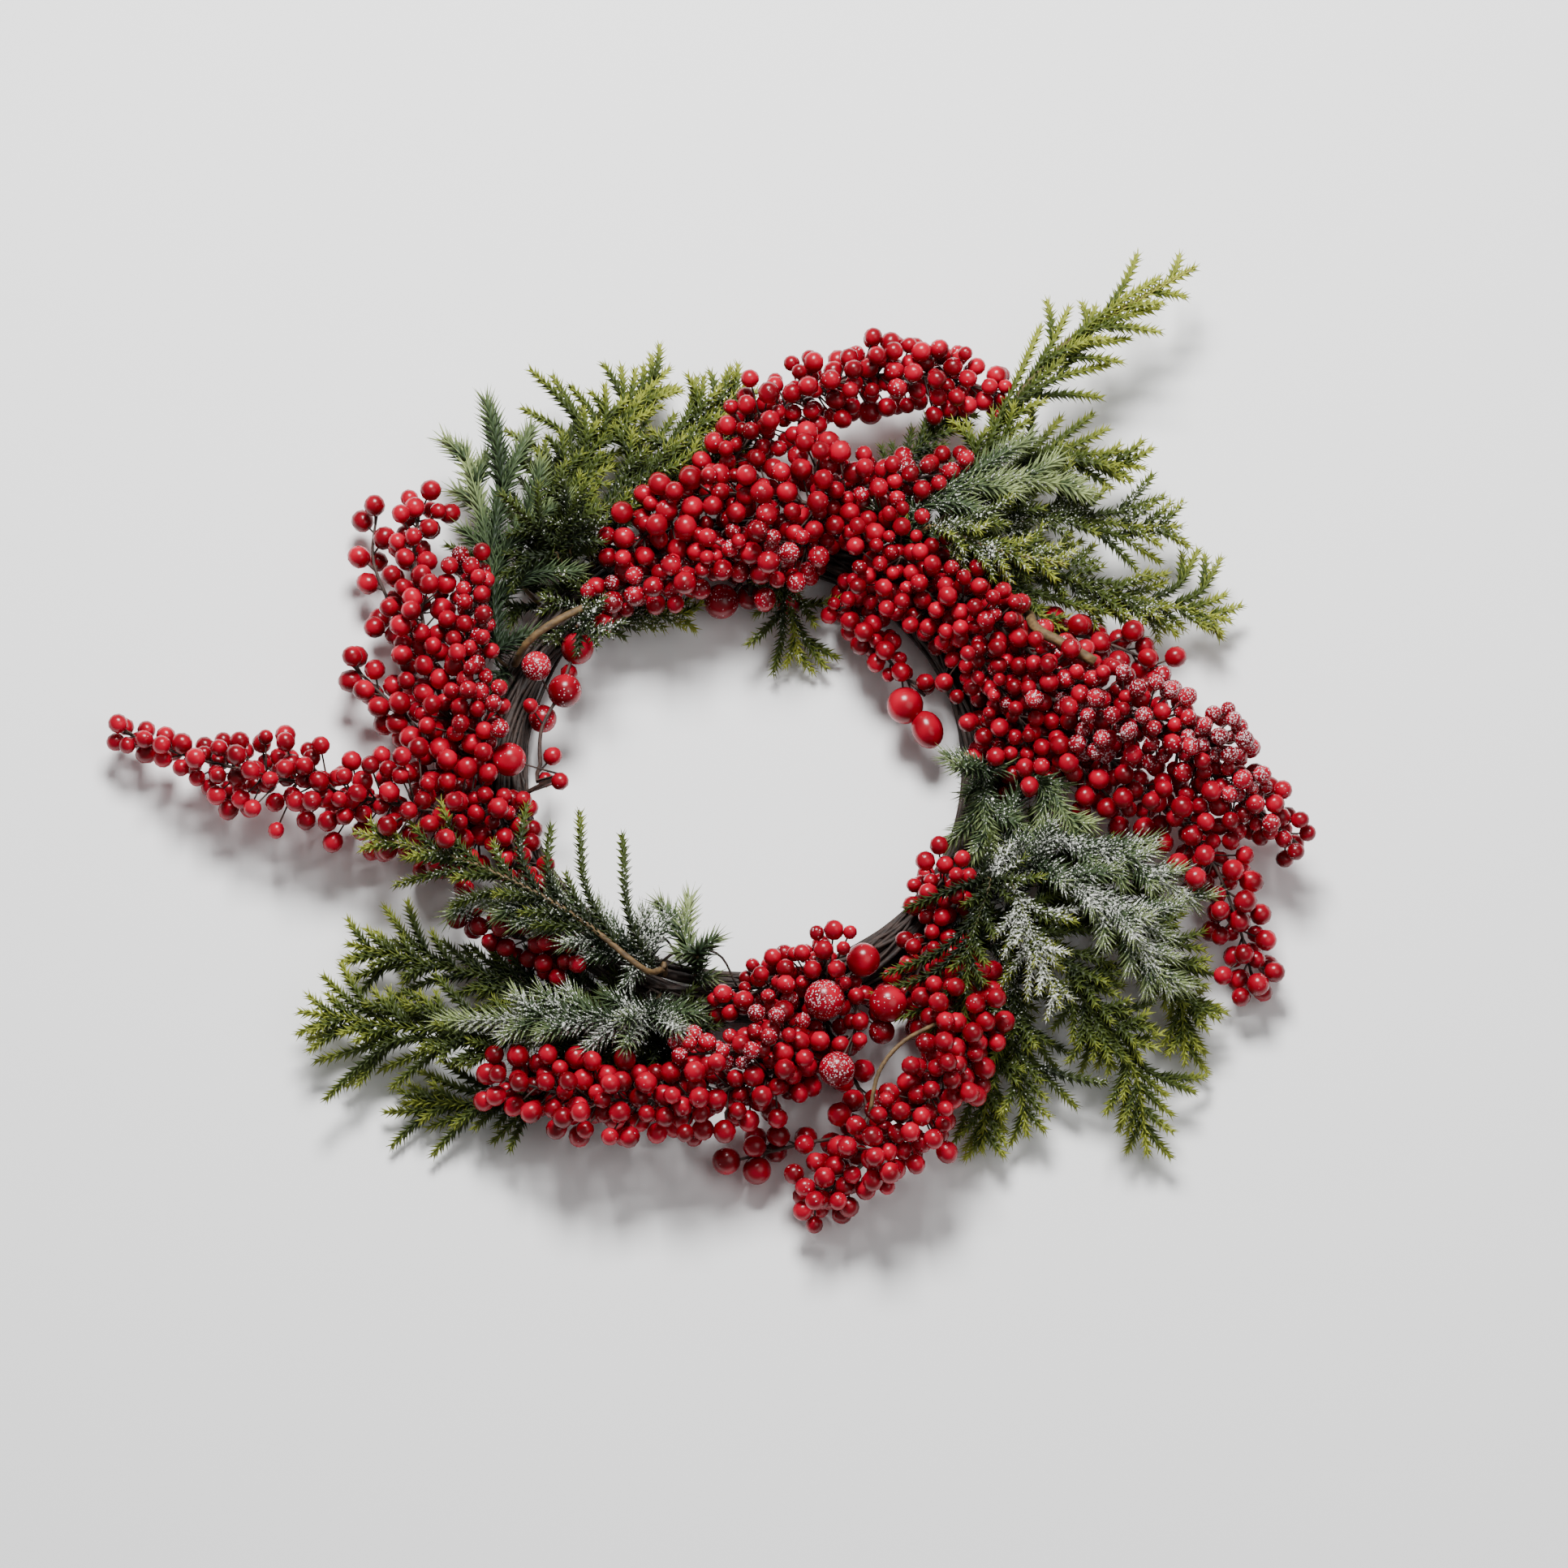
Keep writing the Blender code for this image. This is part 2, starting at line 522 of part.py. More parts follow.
def ring_push(points, reaches):
    """The way out of the ring for points that are too near it."""
    outward = points[:, :2].copy()
    across = np.linalg.norm(outward, axis=1)[:, None]
    outward /= across
    section = np.column_stack((across[:, 0] - RING_RADIUS, points[:, 2] - RING_CENTRE_HEIGHT))
    away = np.linalg.norm(section, axis=1)
    short = np.maximum(RING_THICKNESS / 2 + RING_LOBE_HEIGHT + reaches - away, 0)
    section *= (short / np.maximum(away, 1))[:, None]
    return np.column_stack((outward * section[:, :1], section[:, 1]))


def shift_line(line, moves):
    """Moves a line's points, evened out along it, while its start follows its seat or its stem."""
    for _ in range(2):
        padded = np.vstack((moves[:1], moves, moves[-1:]))
        moves = (padded[:-2] + 2 * padded[1:-1] + padded[2:]) / 4
    held = line.parent.move[line.index] if line.parent else 0
    line.move = (moves * line.freedom + held * (1 - line.freedom)).round(DECIMALS)
    line.points = line.points + line.move


def lay_lines(ring_tree):
    """Every stem and side shoot, settled clear of each other."""
    plans = [*BUNCHES, *SPRAYS]
    stems = []
    taken = np.empty((0, 3))
    for plan in plans:
        points = seated_line(ring_tree, plan.route, taken)
        taken = np.vstack((taken, points))
        if isinstance(plan, Bunch):
            stems.append(Line(plan.name, points, taper(points, *BERRY_STEM), BUNCH_MARGIN))
        else:
            stems.append(Line(plan.name, points, taper(points, *SPRAY_STEM), SHOOT_MARGIN))
    shoots = []
    for stem, plan in zip(stems, plans):
        if isinstance(plan, Spray):
            shoots += [shoot_line(stem, share, tip) for share, tip in plan.shoots]
    settle(stems + shoots)
    return {stem.owner: stem for stem in stems}, shoots


def tube(line, radii, sides, twist=0.0):
    """A closed tube along the line, with an end face drawn on from section to section."""
    shape = bmesh.new()
    ways = bisectors(line)
    ahead = Vector(ways[0])
    turn = ahead.to_track_quat("Z", "Y")
    place = Matrix.LocRotScale(Vector(line[0]), turn, Vector((radii[0],) * 3))
    bmesh.ops.create_circle(shape, cap_ends=True, segments=sides, radius=1, matrix=place)
    shape.faces.ensure_lookup_table()
    end = shape.faces[0]
    for index in range(1, len(line)):
        following = Vector(ways[index])
        spin = min(twist * np.linalg.norm(line[index] - line[index - 1]), MOST_TWIST)
        turn = ahead.rotation_difference(following) @ turn @ Quaternion((0, 0, 1), spin)
        ahead = following
        moved = Matrix.LocRotScale(Vector(line[index]), turn, Vector((radii[index],) * 3))
        end = bmesh.ops.extrude_discrete_faces(shape, faces=[end])["faces"][0]
        bmesh.ops.transform(shape, matrix=moved @ place.inverted(), verts=end.verts[:])
        place = moved
    bmesh.ops.holes_fill(shape, edges=shape.edges[:], sides=sides)
    bmesh.ops.recalc_face_normals(shape, faces=shape.faces[:])
    return shape


def sections(line, radii, step, bare=0.0, bare_step=BARE_TUBE_STEP):
    """The few points of a line that a tube is drawn through: fewer along its bare start."""
    along = distances(line)
    split = along[-1] * bare
    stops = np.linspace(split, along[-1], max(2, round((along[-1] - split) / step) + 1))
    if split:
        early = np.linspace(0, split, max(2, round(split / bare_step) + 1))
        stops = np.concatenate((early[:-1], stops))
    return read_off(line, stops), np.interp(stops, along, radii)


def bare_faces(shape, line, bare):
    """The faces of a tube along the bare stretch at its start."""
    along = distances(line)
    found = []
    for face in shape.faces:
        nearest = np.linalg.norm(line - np.array(face.calc_center_median()), axis=1).argmin()
        if nearest == 0 or along[nearest] <= along[-1] * bare:
            found.append(face)
    return found


def raise_needles(shape, line, needles, joints):
    """Draws each four-sided face clear of the joints out to a needle, which leans to the tip."""
    faces = []
    for face in shape.faces:
        middle = face.calc_center_median()
        clear = all((middle - joint).length > JOINT_ROOM for joint in joints)
        at_tip = (middle - Vector(line[-1])).length < TIP_NEAR
        if at_tip or (clear and len(face.verts) == 4):
            faces.append(face)
    made = bmesh.ops.poke(shape, faces=faces)
    drawn = []
    for apex in made["verts"]:
        foot = apex.co.copy()
        nearest = np.linalg.norm(line - np.array(foot), axis=1).argmin()
        forward = Vector(heading(line, nearest))
        outward = foot - Vector(line[nearest])
        outward -= forward * outward.dot(forward)
        if outward.length < SHOOT_CORE[1] / 3:
            outward = Vector()
        tip = foot + outward.normalized() * needles.reach + forward * needles.sweep
        tip.z = max(tip.z, GROUND_CLEARANCE)
        apex.co = tip
        drawn.append((apex, foot, tip))
    bmesh.ops.triangulate(shape, faces=shape.faces[:])
    return drawn


def own_cuts(shape):
    """The shape's faces that cut others of its faces."""
    tree = BVHTree.FromBMesh(shape)
    shape.faces.ensure_lookup_table()
    corners = [set(face.verts) for face in shape.faces]
    return {one for one, other in tree.overlap(tree) if not corners[one] & corners[other]}


def lies_inside(tree, point):
    """Whether a line straight up from the point leaves the closed piece once more than it enters."""
    crossings = 0
    place = tree.ray_cast(point, UP)[0]
    while place:
        crossings += 1
        place = tree.ray_cast(place + UP * RAY_STEP, UP)[0]
    return crossings % 2 == 1


class Solids:
    """The pieces of every node so far, and the room that each takes, to test new ones against."""

    def __init__(self):
        self.nodes = {}
        self.rooms = []

    def add(self, owner, shape):
        self.nodes.setdefault(owner, []).append(shape)
        self.rooms.append(self.room(owner, shape))
        return len(self.rooms) - 1

    def room(self, owner, shape):
        corners = np.array([vert.co[:] for vert in shape.verts])
        return owner, corners.min(axis=0), corners.max(axis=0), BVHTree.FromBMesh(shape)

    def hits(self, owner, shape, own=False, number=None):
        """The shape's faces that cut or lie inside another node, or its own other pieces."""
        shape.faces.ensure_lookup_table()
        shape.faces.index_update()
        _, low, high, shape_tree = self.room(owner, shape)
        found = set()
        for index, (other, least, most, tree) in enumerate(self.rooms):
            if (other == owner) != own or index == number:
                continue
            if (least > high).any() or (most < low).any():
                continue
            found.update(face for face, _ in shape_tree.overlap(tree))
            if not own and lies_inside(tree, shape.faces[0].verts[0].co):
                found.add(0)
        return found


def trim_needles(solids, line, shape, drawn):
    """Shortens the needles that meet another node or shoot."""
    shares = {apex: 0 for apex, _, _ in drawn}
    for _ in NEEDLE_TRIM:
        hits = solids.hits(line.owner, shape)
        hits |= solids.hits(line.owner, shape, own=True, number=line.number) | own_cuts(shape)
        for apex, foot, tip in drawn:
            if any(face.index in hits for face in apex.link_faces):
                shares[apex] = min(shares[apex] + 1, len(NEEDLE_TRIM) - 1)
                apex.co = foot.lerp(tip, NEEDLE_TRIM[shares[apex]])


def detours(line):
    """The line as settled, and then raised or lowered past its start."""
    ramp = np.clip((np.arange(len(line.points)) - 1) / DETOUR_POINTS, 0, 1)[:, None]
    for lift in DETOURS:
        yield line.points + ramp * (0, 0, lift)


def add_line(solids, line, make):
    """Adds a stem or shoot where it is clear of the other nodes, cut short as a last resort."""
    keep = len(line.points)
    while keep >= SHORTEST_LINE:
        for points in detours(line):
            shape, drawn_line, radii = make(points[:keep], line.radii[:keep])
            if shape:
                line.number = solids.add(line.owner, shape)
                line.points, line.radii, line.shape = drawn_line, radii, shape
                return
        keep -= CUT_BACK


def add_core(solids, line, needles, bare):
    """Adds the slim core of a stem or shoot that carries needles."""
    def make(points, radii):
        thin, thin_radii = sections(points, radii, needles.step, bare)
        shape = tube(thin, thin_radii, NEEDLE_SIDES, TWIST)
        drawn_line = even_steps(thin, LINE_STEP)
        bmesh.ops.triangulate(shape, faces=bare_faces(shape, drawn_line, bare))
        if solids.hits(line.owner, shape) or own_cuts(shape):
            shape.free()
            shape = None
        return shape, drawn_line, taper(drawn_line, *radii[[0, -1]])
    add_line(solids, line, make)


def add_shoot(solids, shoot, needles):
    """Adds a side shoot, started on the middle of its stem as drawn, if that stem reaches it."""
    stem = even_steps(shoot.parent.points, FINE_STEP)
    away = np.linalg.norm(stem - shoot.points[0], axis=1)
    if away.min() < STEM_REACH and shoot.parent.shape:
        shoot.points = shoot.points + (stem[away.argmin()] - shoot.points[0]) * (1 - shoot.freedom)
        shoot.points[0] = stem[away.argmin()]
        add_core(solids, shoot, needles, SHOOT_BARE_SHARE)


def add_needles(solids, line, needles, joints=()):
    """Raises the needles on a drawn core, as long as they have room."""
    if line.shape:
        drawn = raise_needles(line.shape, line.points, needles, joints)
        trim_needles(solids, line, line.shape, drawn)
        solids.rooms[line.number] = solids.room(line.owner, line.shape)


def whorl_stops(bunch, points):
    """Distances along a berry stem at which its berries leave it, and those of all its sections."""
    length = distances(points)[-1]
    count = max(2, round(bunch.count * BERRY_COUNT_SHARE / BERRIES_PER_WHORL))
    first = min(FIRST_WHORL, length / 2)
    whorls = np.linspace(first, length - 2 * WHORL_HALF_LENGTH, count)
    edges = np.concatenate((whorls - WHORL_HALF_LENGTH, whorls + WHORL_HALF_LENGTH))
    return whorls, np.sort(np.concatenate(((0, first / 2), edges, (length,))))


def add_wire(solids, line, bunch):
    """Adds a berry stem, with a short section wherever berries leave it."""
    def make(points, radii):
        along = distances(points)
        whorls, stops = whorl_stops(bunch, points)
        line.whorls = read_off(points, whorls)
        thin = read_off(points, stops)
        shape = tube(thin, np.interp(stops, along, radii), BERRY_TUBE_SIDES, TWIST)
        bmesh.ops.triangulate(shape, faces=[face for face in shape.faces if not is_short(face)])
        drawn_line = even_steps(thin, FINE_STEP)
        if solids.hits(line.owner, shape) or own_cuts(shape):
            shape.free()
            shape = None
        return shape, drawn_line, taper(drawn_line, *radii[[0, -1]])
    add_line(solids, line, make)


def ball(centre, radius, finer):
    shape = bmesh.new()
    place = Matrix.Translation(centre)
    bmesh.ops.create_icosphere(shape, subdivisions=finer, radius=radius, matrix=place)
    return shape


def add_ball(solids, owner, centre, radius):
    """Adds a single large berry where it has room, and says whether it had."""
    if centre[2] < radius + GROUND_CLEARANCE:
        return False
    wider = ball(centre, radius + BERRY_GAP, 2)
    blocked = solids.hits(owner, wider)
    wider.free()
    if not blocked:
        solids.add(owner, ball(centre, radius, 2 if radius >= LARGE_BERRY else 1))
    return not blocked


def berry_room(solids, owner, face, centre, radius, lift):
    """Takes the room for a berry drawn from a face of its stem, and says whether it was free."""
    if centre.z < radius + GROUND_CLEARANCE:
        return False
    room = bmesh.new()
    corners = [room.verts.new(vert.co + lift) for vert in face.verts]
    draw_berry(room, room.faces.new(corners), centre, radius + BERRY_GAP)
    bmesh.ops.holes_fill(room, edges=room.edges[:], sides=4)
    bmesh.ops.triangulate(room, faces=room.faces[:])
    free = not solids.hits(owner, room) and not solids.hits(owner, room, own=True)
    if free:
        solids.rooms.append(solids.room(owner, room))
    room.free()
    return free


def add_stalk(solids, owner, start, end):
    """Adds the thin stalk of a berry, and says whether it had room."""
    shape = tube(np.array((start, end)), (STALK_RADIUS, STALK_RADIUS), STALK_SIDES)
    bmesh.ops.triangulate(shape, faces=shape.faces[:])
    if solids.hits(owner, shape):
        shape.free()
        return False
    solids.add(owner, shape)
    return True


def add_berries(solids, bunch, stem):
    """Draws berries out of the stem's short sections, one from each side, where they have room."""
    shape = solids.nodes[bunch.name][0]
    number = 0
    for turn, whorl in enumerate(stem.whorls):
        share = turn / (len(stem.whorls) - 1)
        index = np.linalg.norm(stem.points - whorl, axis=1).argmin()
        place, ahead = Vector(whorl), Vector(heading(stem.points, index))
        faces = short_faces(shape, place, ahead)
        for side in range(BERRIES_PER_WHORL):
            face = faces[(turn + side) % len(faces)]
            number += 1
            size = number * BERRY_SIZE_STEP % BERRY_SIZES / BERRY_SIZES
            radius = bunch.radii[0] + (bunch.radii[1] - bunch.radii[0]) * size
            reach = bunch.spread * BERRY_REACHES[number % len(BERRY_REACHES)]
            reach *= 1 - TIP_NARROWING * share
            outward = (face.calc_center_median() - place).normalized()
            for lean in BERRY_LEANS:
                direction = (outward + ahead * lean).normalized()
                centre = place + direction * max(reach, radius + BERRY_STEM[0] + 2 * BERRY_FOOT)
                lift = direction * BERRY_FOOT
                if berry_room(solids, bunch.name, face, centre, radius, lift):
                    draw_berry(shape, face, centre, radius)
                    break


def short_faces(shape, place, ahead):
    """The side faces of the stem's short section at a place."""
    return [face for face in shape.faces if len(face.verts) == 4
            and abs(face.normal.dot(ahead)) < SIDE_FACE_SLANT
            and (face.calc_center_median() - place).length < BERRY_STEM[0] and is_short(face)]


def is_short(face):
    return max(edge.calc_length() for edge in face.edges) < 2 * BERRY_STEM[0]


def draw_berry(shape, face, centre, radius):
    """Draws a face out to a ball: two rings of four corners, turned against each other, and a tip."""
    foot = face.calc_center_median()
    turn = (centre - foot).to_track_quat("Z", "Y")
    flat = [turn.inverted() @ (vert.co - foot) for vert in face.verts]
    first = math.atan2(flat[0].y, flat[0].x)
    side = 1 if flat[0].x * flat[1].y > flat[0].y * flat[1].x else -1
    for height, size, twist in BERRY_RINGS:
        face = bmesh.ops.extrude_discrete_faces(shape, faces=[face])["faces"][0]
        for corner, vert in enumerate(face.verts):
            angle = first + side * (corner * math.pi / 2 + twist)
            spot = Vector((math.cos(angle) * size, math.sin(angle) * size, height)) * radius
            vert.co = centre + turn @ spot
    apex = bmesh.ops.poke(shape, faces=[face])["verts"][0]
    apex.co = centre + turn @ Vector((0, 0, radius))


def drop_last(solids, owner):
    solids.nodes[owner].pop().free()
    solids.rooms.pop()


def add_large_berries(solids, bunch, line):
    """The single large berries, each on a stalk from the nearest free stretch of the stem."""
    for centre, radius in bunch.large:
        centre = np.array(centre, float)
        if not add_ball(solids, bunch.name, centre, radius):
            continue
        nearest = np.argsort(np.linalg.norm(line - centre, axis=1))
        if not any(add_stalk(solids, bunch.name, line[index], centre) for index in nearest[::2]):
            drop_last(solids, bunch.name)


def as_object(name, shape, collection):
    mesh = bpy.data.meshes.new(name)
    shape.to_mesh(mesh)
    shape.free()
    mesh.transform(Matrix.Scale(MILLIMETRE, 4))
    item = bpy.data.objects.new(name, mesh)
    collection.objects.link(item)
    return item


def join_node(name, shapes, root, material):
    """Joins a node's pieces in one closed solid."""
    scene = bpy.context.scene.collection
    node = as_object(name, shapes[0], scene)
    if len(shapes) > 1:
        others = bpy.data.collections.new(name + "_pieces")
        scene.children.link(others)
        for shape in shapes[1:]:
            as_object(name + "_piece", shape, others)
        union = node.modifiers.new("union", "BOOLEAN")
        union.operation = "UNION"
        union.operand_type = "COLLECTION"
        union.collection = others
        union.solver = SOLVER
        whole = node.evaluated_get(bpy.context.evaluated_depsgraph_get())
        joined = bpy.data.meshes.new_from_object(whole)
        node.modifiers.remove(union)
        node.data = joined
        for item in list(others.objects):
            bpy.data.objects.remove(item)
        bpy.data.collections.remove(others)
    node.data.name = name
    node.data.materials.clear()
    node.data.materials.append(material)
    node.parent = root
    return node


def build():
    clear_scene()
    root = bpy.data.objects.new("berry_wreath", None)
    bpy.context.scene.collection.objects.link(root)
    solids = Solids()
    ring = ring_shape()
    solids.add("twig_ring", ring)
    stems, shoots = lay_lines(BVHTree.FromBMesh(ring))

    for bunch in BUNCHES:
        add_wire(solids, stems[bunch.name], bunch)
    for bunch in BUNCHES:
        add_large_berries(solids, bunch, stems[bunch.name].points)
    for spray in SPRAYS:
        add_core(solids, stems[spray.name], spray.needles, BARE_SHARE)
    needles = {spray.name: spray.needles for spray in SPRAYS}
    for shoot in shoots:
        add_shoot(solids, shoot, needles[shoot.owner])
    for spray in SPRAYS:
        joints = [Vector(shoot.points[0]) for shoot in shoots if shoot.owner == spray.name]
        add_needles(solids, stems[spray.name], spray.needles, joints)
    for shoot in shoots:
        add_needles(solids, shoot, needles[shoot.owner])
    for bunch in BUNCHES:
        add_berries(solids, bunch, stems[bunch.name])
        wire = solids.nodes[bunch.name][0]
        bmesh.ops.triangulate(wire, faces=wire.faces[:])

    frosts = {bunch.name: (BERRY_COLOUR, bunch.frost, 0.3) for bunch in BUNCHES}
    frosts |= {spray.name: (spray.needles.colour, spray.frost, 0.6) for spray in SPRAYS}
    frosts["twig_ring"] = (RING_COLOUR, 0, 0.8)
    nodes = []
    for name, shapes in solids.nodes.items():
        colour, frost, roughness = frosts[name]
        nodes.append(join_node(name, shapes, root, finish(name, frosted(colour, frost), roughness)))

    corners = np.vstack([np.array([vert.co[:] for vert in node.data.vertices]) for node in nodes])
    middle = (corners.min(axis=0) + corners.max(axis=0)) / 2
    root.location = (-middle[0], -middle[1], 0)


build()
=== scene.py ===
"""The finished looks of the berry wreath: twisted twigs, full pine and fir sprays, and berry stems.

The stems and side shoots follow the same routes as the wreath's solids, in millimetres from the
ring's centre. Needles, twigs and berries are then drawn one by one, at about their real size.
"""

import json
import math
import random
from collections import namedtuple

import bmesh
import bpy
import numpy as np
from mathutils import Matrix, Quaternion, Vector, noise
from mathutils.bvhtree import BVHTree

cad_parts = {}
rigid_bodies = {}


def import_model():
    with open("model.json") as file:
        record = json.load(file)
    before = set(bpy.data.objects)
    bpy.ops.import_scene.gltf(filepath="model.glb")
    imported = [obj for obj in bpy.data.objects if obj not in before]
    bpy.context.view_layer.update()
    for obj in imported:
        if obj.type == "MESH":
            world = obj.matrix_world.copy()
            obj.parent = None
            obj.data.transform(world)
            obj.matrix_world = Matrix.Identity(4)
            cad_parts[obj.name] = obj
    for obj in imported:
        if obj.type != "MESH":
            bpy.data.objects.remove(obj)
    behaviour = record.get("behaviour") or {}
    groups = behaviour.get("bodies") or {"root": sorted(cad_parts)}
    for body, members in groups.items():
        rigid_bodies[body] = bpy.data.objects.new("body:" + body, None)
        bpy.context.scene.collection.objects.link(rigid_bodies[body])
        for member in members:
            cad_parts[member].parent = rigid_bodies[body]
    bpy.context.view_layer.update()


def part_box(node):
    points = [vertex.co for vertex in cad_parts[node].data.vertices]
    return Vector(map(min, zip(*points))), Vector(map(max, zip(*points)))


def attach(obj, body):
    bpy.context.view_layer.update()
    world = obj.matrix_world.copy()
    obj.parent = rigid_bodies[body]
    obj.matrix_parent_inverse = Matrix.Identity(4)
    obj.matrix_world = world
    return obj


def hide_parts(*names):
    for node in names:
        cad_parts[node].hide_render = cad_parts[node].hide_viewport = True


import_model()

MILLIMETRE = 0.001

# The ring, in millimetres, with its underside cut flat to rest on the floor.
RING_RADIUS = 120
RING_THICKNESS = 26
RING_CENTRE_HEIGHT = 12.6
RING_FLAT_BELOW = 1.0
RING_LOBES = 5
RING_LOBE_HEIGHT = 0.9
RING_TWISTS = 6
RING_SIDES = 11
RING_STEPS = 42

# Where a stem leaves the ring, and the steps of its line.
SEAT_GAPS = (0.3, 0.45, 0.6, 0.75)
SEAT_CLEARANCE = 0.15
SEAT_RISE = 7
SEAT_SKIP = 13
SEAT_TURN = 2
SEAT_TRIES = 21
SEAT_POINTS = 9
SEAT_ROOM = 6.0
DECIMALS = 4
LINE_STEP = 4
CURVE_SAMPLES = 24
SHOOT_FORWARD = 0.18

# How the stems push each other apart, and how thick they are at the foot and the tip.
SETTLE_ROUNDS = 120
PAIRS_EVERY = 10
PAIR_SLACK = 10
SETTLE_SHARE = 0.45
SIDEWAYS_SHARE = 0.45
OVER_OR_UNDER = 1.5
BUNCH_MARGIN = 2.2
SHOOT_MARGIN = 1.7
HOME_SHARE = 0.03
STIFF_POINTS = 3
GROUND_CLEARANCE = 1.0
SPRAY_STEM = (1.7, 0.9)
SHOOT_CORE = (1.3, 0.7)
BERRY_STEM = (2.0, 1.2)

# The twigs in the ring: for each layer their count, reach from the middle, waver and radii.
TWIG_LAYERS = ((12, 5.0, 1.0, (2.2, 3.0)), (14, 8.2, 0.8, (1.4, 2.2)), (46, 11.0, 0.8, (0.8, 1.5)))
TWIG_SPANS = (100, 330)
TWIG_WINDINGS = (0.6, 2.4)
TWIG_STEP = 6.5
TWIG_SIDES = 5
TWIG_SEED = 11
STRAY_ENDS = 7
STRAY_LENGTHS = (12, 26)
STRAY_REACH = 0.7
STRAY_WAY = math.radians(60)
STRAY_THINNER_THAN = 2
TWIG_WAVES = (3, 7)
WAVE_STARTS = (0, 6)
TWIG_TIP = 0.45
TWIG_SWELL = 0.55
TIP_POINTS = 8
TWIG_GROUND = 0.05
CURL_RADII = (0.9, 0.5)
RING_CURLS = (((-48, -112, 24), (-30, -102, 33), (-13, -105, 34), (-4, -119, 27)),
              ((-64, -98, 24), (-50, -90, 30), (-39, -96, 31), (-30, -110, 24)))
# Lengths of bare brown twig over the foliage, each with its spray and radius.
BARE_TWIGS = (
    ("fir_left_inner_low", 2.0, ((-114, 48, 30), (-107, 55, 44), (-92, 65, 48), (-78, 73, 46))),
    ("fir_right_under", 2.7, ((140, 67, 50), (144, 54, 63), (157, 45, 67), (172, 36, 66))),
    ("fir_low_right_fingers", 1.1,
     ((108, -140, 48), (90, -150, 55), (77, -158, 56), (66, -172, 56), (61, -192, 50))),
)

# How side shoots grow, as shares of a stem or of a length, and what room they need.
CORE_SIDES = {"short": 4, "long": 6}
BARE_STEMS = {"fir_right_tall": 0.22, "fir_left_over_main": 0.3, "fir_right_olive": 0.15}
FIRST_SHOOT = 0.04
LAST_SHOOT = 0.92
SIDE_SLANTS = (math.radians(26), math.radians(38))
SIDE_LIFTS = (-0.35, 0.4)
SIDE_LENGTH = 1.35
SIDE_LENGTH_LOSS = 0.7
LENGTH_LUCK = (0.9, 1.1)
SHOOT_STEP = 2.0
SHOOT_BEND = 0.06
SHOOT_RING_GAP = 2
ROOT_POINTS = 2
TIP_ROOM = 6
ROOT_SHARE = 2.4
ROOM = {"short": 4.4, "long": 9}
GROW_TRIES = 4
SHORTER_EACH_TRY = 0.08
FILL_BEND = 4
THICK_ROOM = {"fir_top_left_outer": 0.85, "fir_top_left_mid": 0.85, "fir_top_left_inner": 0.85}
FILL_SHOOTS = {
    "fir_left_inner_low": ((0.35, (-92, 92, 42)), (0.45, (-72, 96, 40)), (0.3, (-100, 78, 44))),
    "fir_top_left_outer": ((0.15, (-79, 137, 28)), (0.2, (-95, 150, 24)), (0.3, (-100, 170, 22)),
                           (0.35, (-78, 160, 26)), (0.45, (-72, 186, 22)), (0.25, (-112, 150, 22)),
                           (0.55, (-58, 196, 20)), (0.1, (-98, 125, 26))),
    "fir_top_left_mid": ((0.3, (-45, 190, 28)), (0.4, (-35, 180, 32)), (0.35, (-60, 150, 34)),
                         (0.2, (-75, 140, 32)), (0.5, (-12, 180, 28)), (0.65, (5, 190, 26)),
                         (0.45, (-22, 170, 26)), (0.6, (14, 188, 30))),
    "fir_top_left_inner": ((0.3, (-50, 150, 34)), (0.5, (-15, 170, 32)), (0.7, (0, 165, 34)),
                           (0.15, (-85, 120, 30)), (0.2, (-68, 128, 28)), (0.6, (14, 153, 40))),
}
COLLAR_SHARES = (0.0, 0.06, 0.13)
COLLAR_SLANTS = (math.radians(60), math.radians(115))
COLLAR_LIFTS = (0.15, 0.5)
TWIN_SHARES = (0.3, 0.5)
TWIN_SIDES = (1, -1)
TWIN_LENGTH = 0.6
TWIN_LEAST = {"short": 24, "long": 46}
SINGLE_FINGERS = ("fir_left_over_main", "fir_low_right_fingers")
SHORTEST_SHOOT = 12
STEM_SIDES = 6
HIDDEN_STEM = 0.6

# The needles, with the tip of a shoot bearing shorter ones that lean forward.
NEEDLES_START = 0.06
STEM_NEEDLES_START = 0.05
LEAST_POINTS = 3
CORE_TAPER = 0.75
WAIST_PLACE = 0.42
TIP_SHRINK = 0.45
SHRINK_REACH = 1.6
TIP_LEAN = 1.2
LEAN_REACH = 1.2
JITTER = 0.1
BERRY_CLEAR = 0.8
NEEDLE_GROUND = 0.4
MID_NEEDLE = 0.6
BLOCKED_NEEDLE = 0.25
NO_LENGTH = 1e-6

# The age of needles, from dark and old at 0 to fresh at 1, with painted shade darkening each needle
# towards its shoot's core and painted light on its tip, and the snow on them.
STEM_AGES = (0.1, 1.0)
ROOT_AGE = 0.1
ROOT_AGE_GAIN = 0.35
TIP_AGE = 0.55
TIP_AGE_GAIN = 0.5
AGE_LUCK = 0.08
AGE_CURVE = 1.5
# Painted shade and light: each needle's green is lowered at its foot by the core and raised out towards
# its tip.
NEEDLE_TIP_LIGHT = 0.35
NEEDLE_FOOT_SHADE = 0.2
SNOW_PATCH = 16
SNOW_EVEN = 0.15
SNOW_PATCHY = 0.9
SNOW_ABOVE = 0.3
SNOW_OFF_TIPS = 0.15

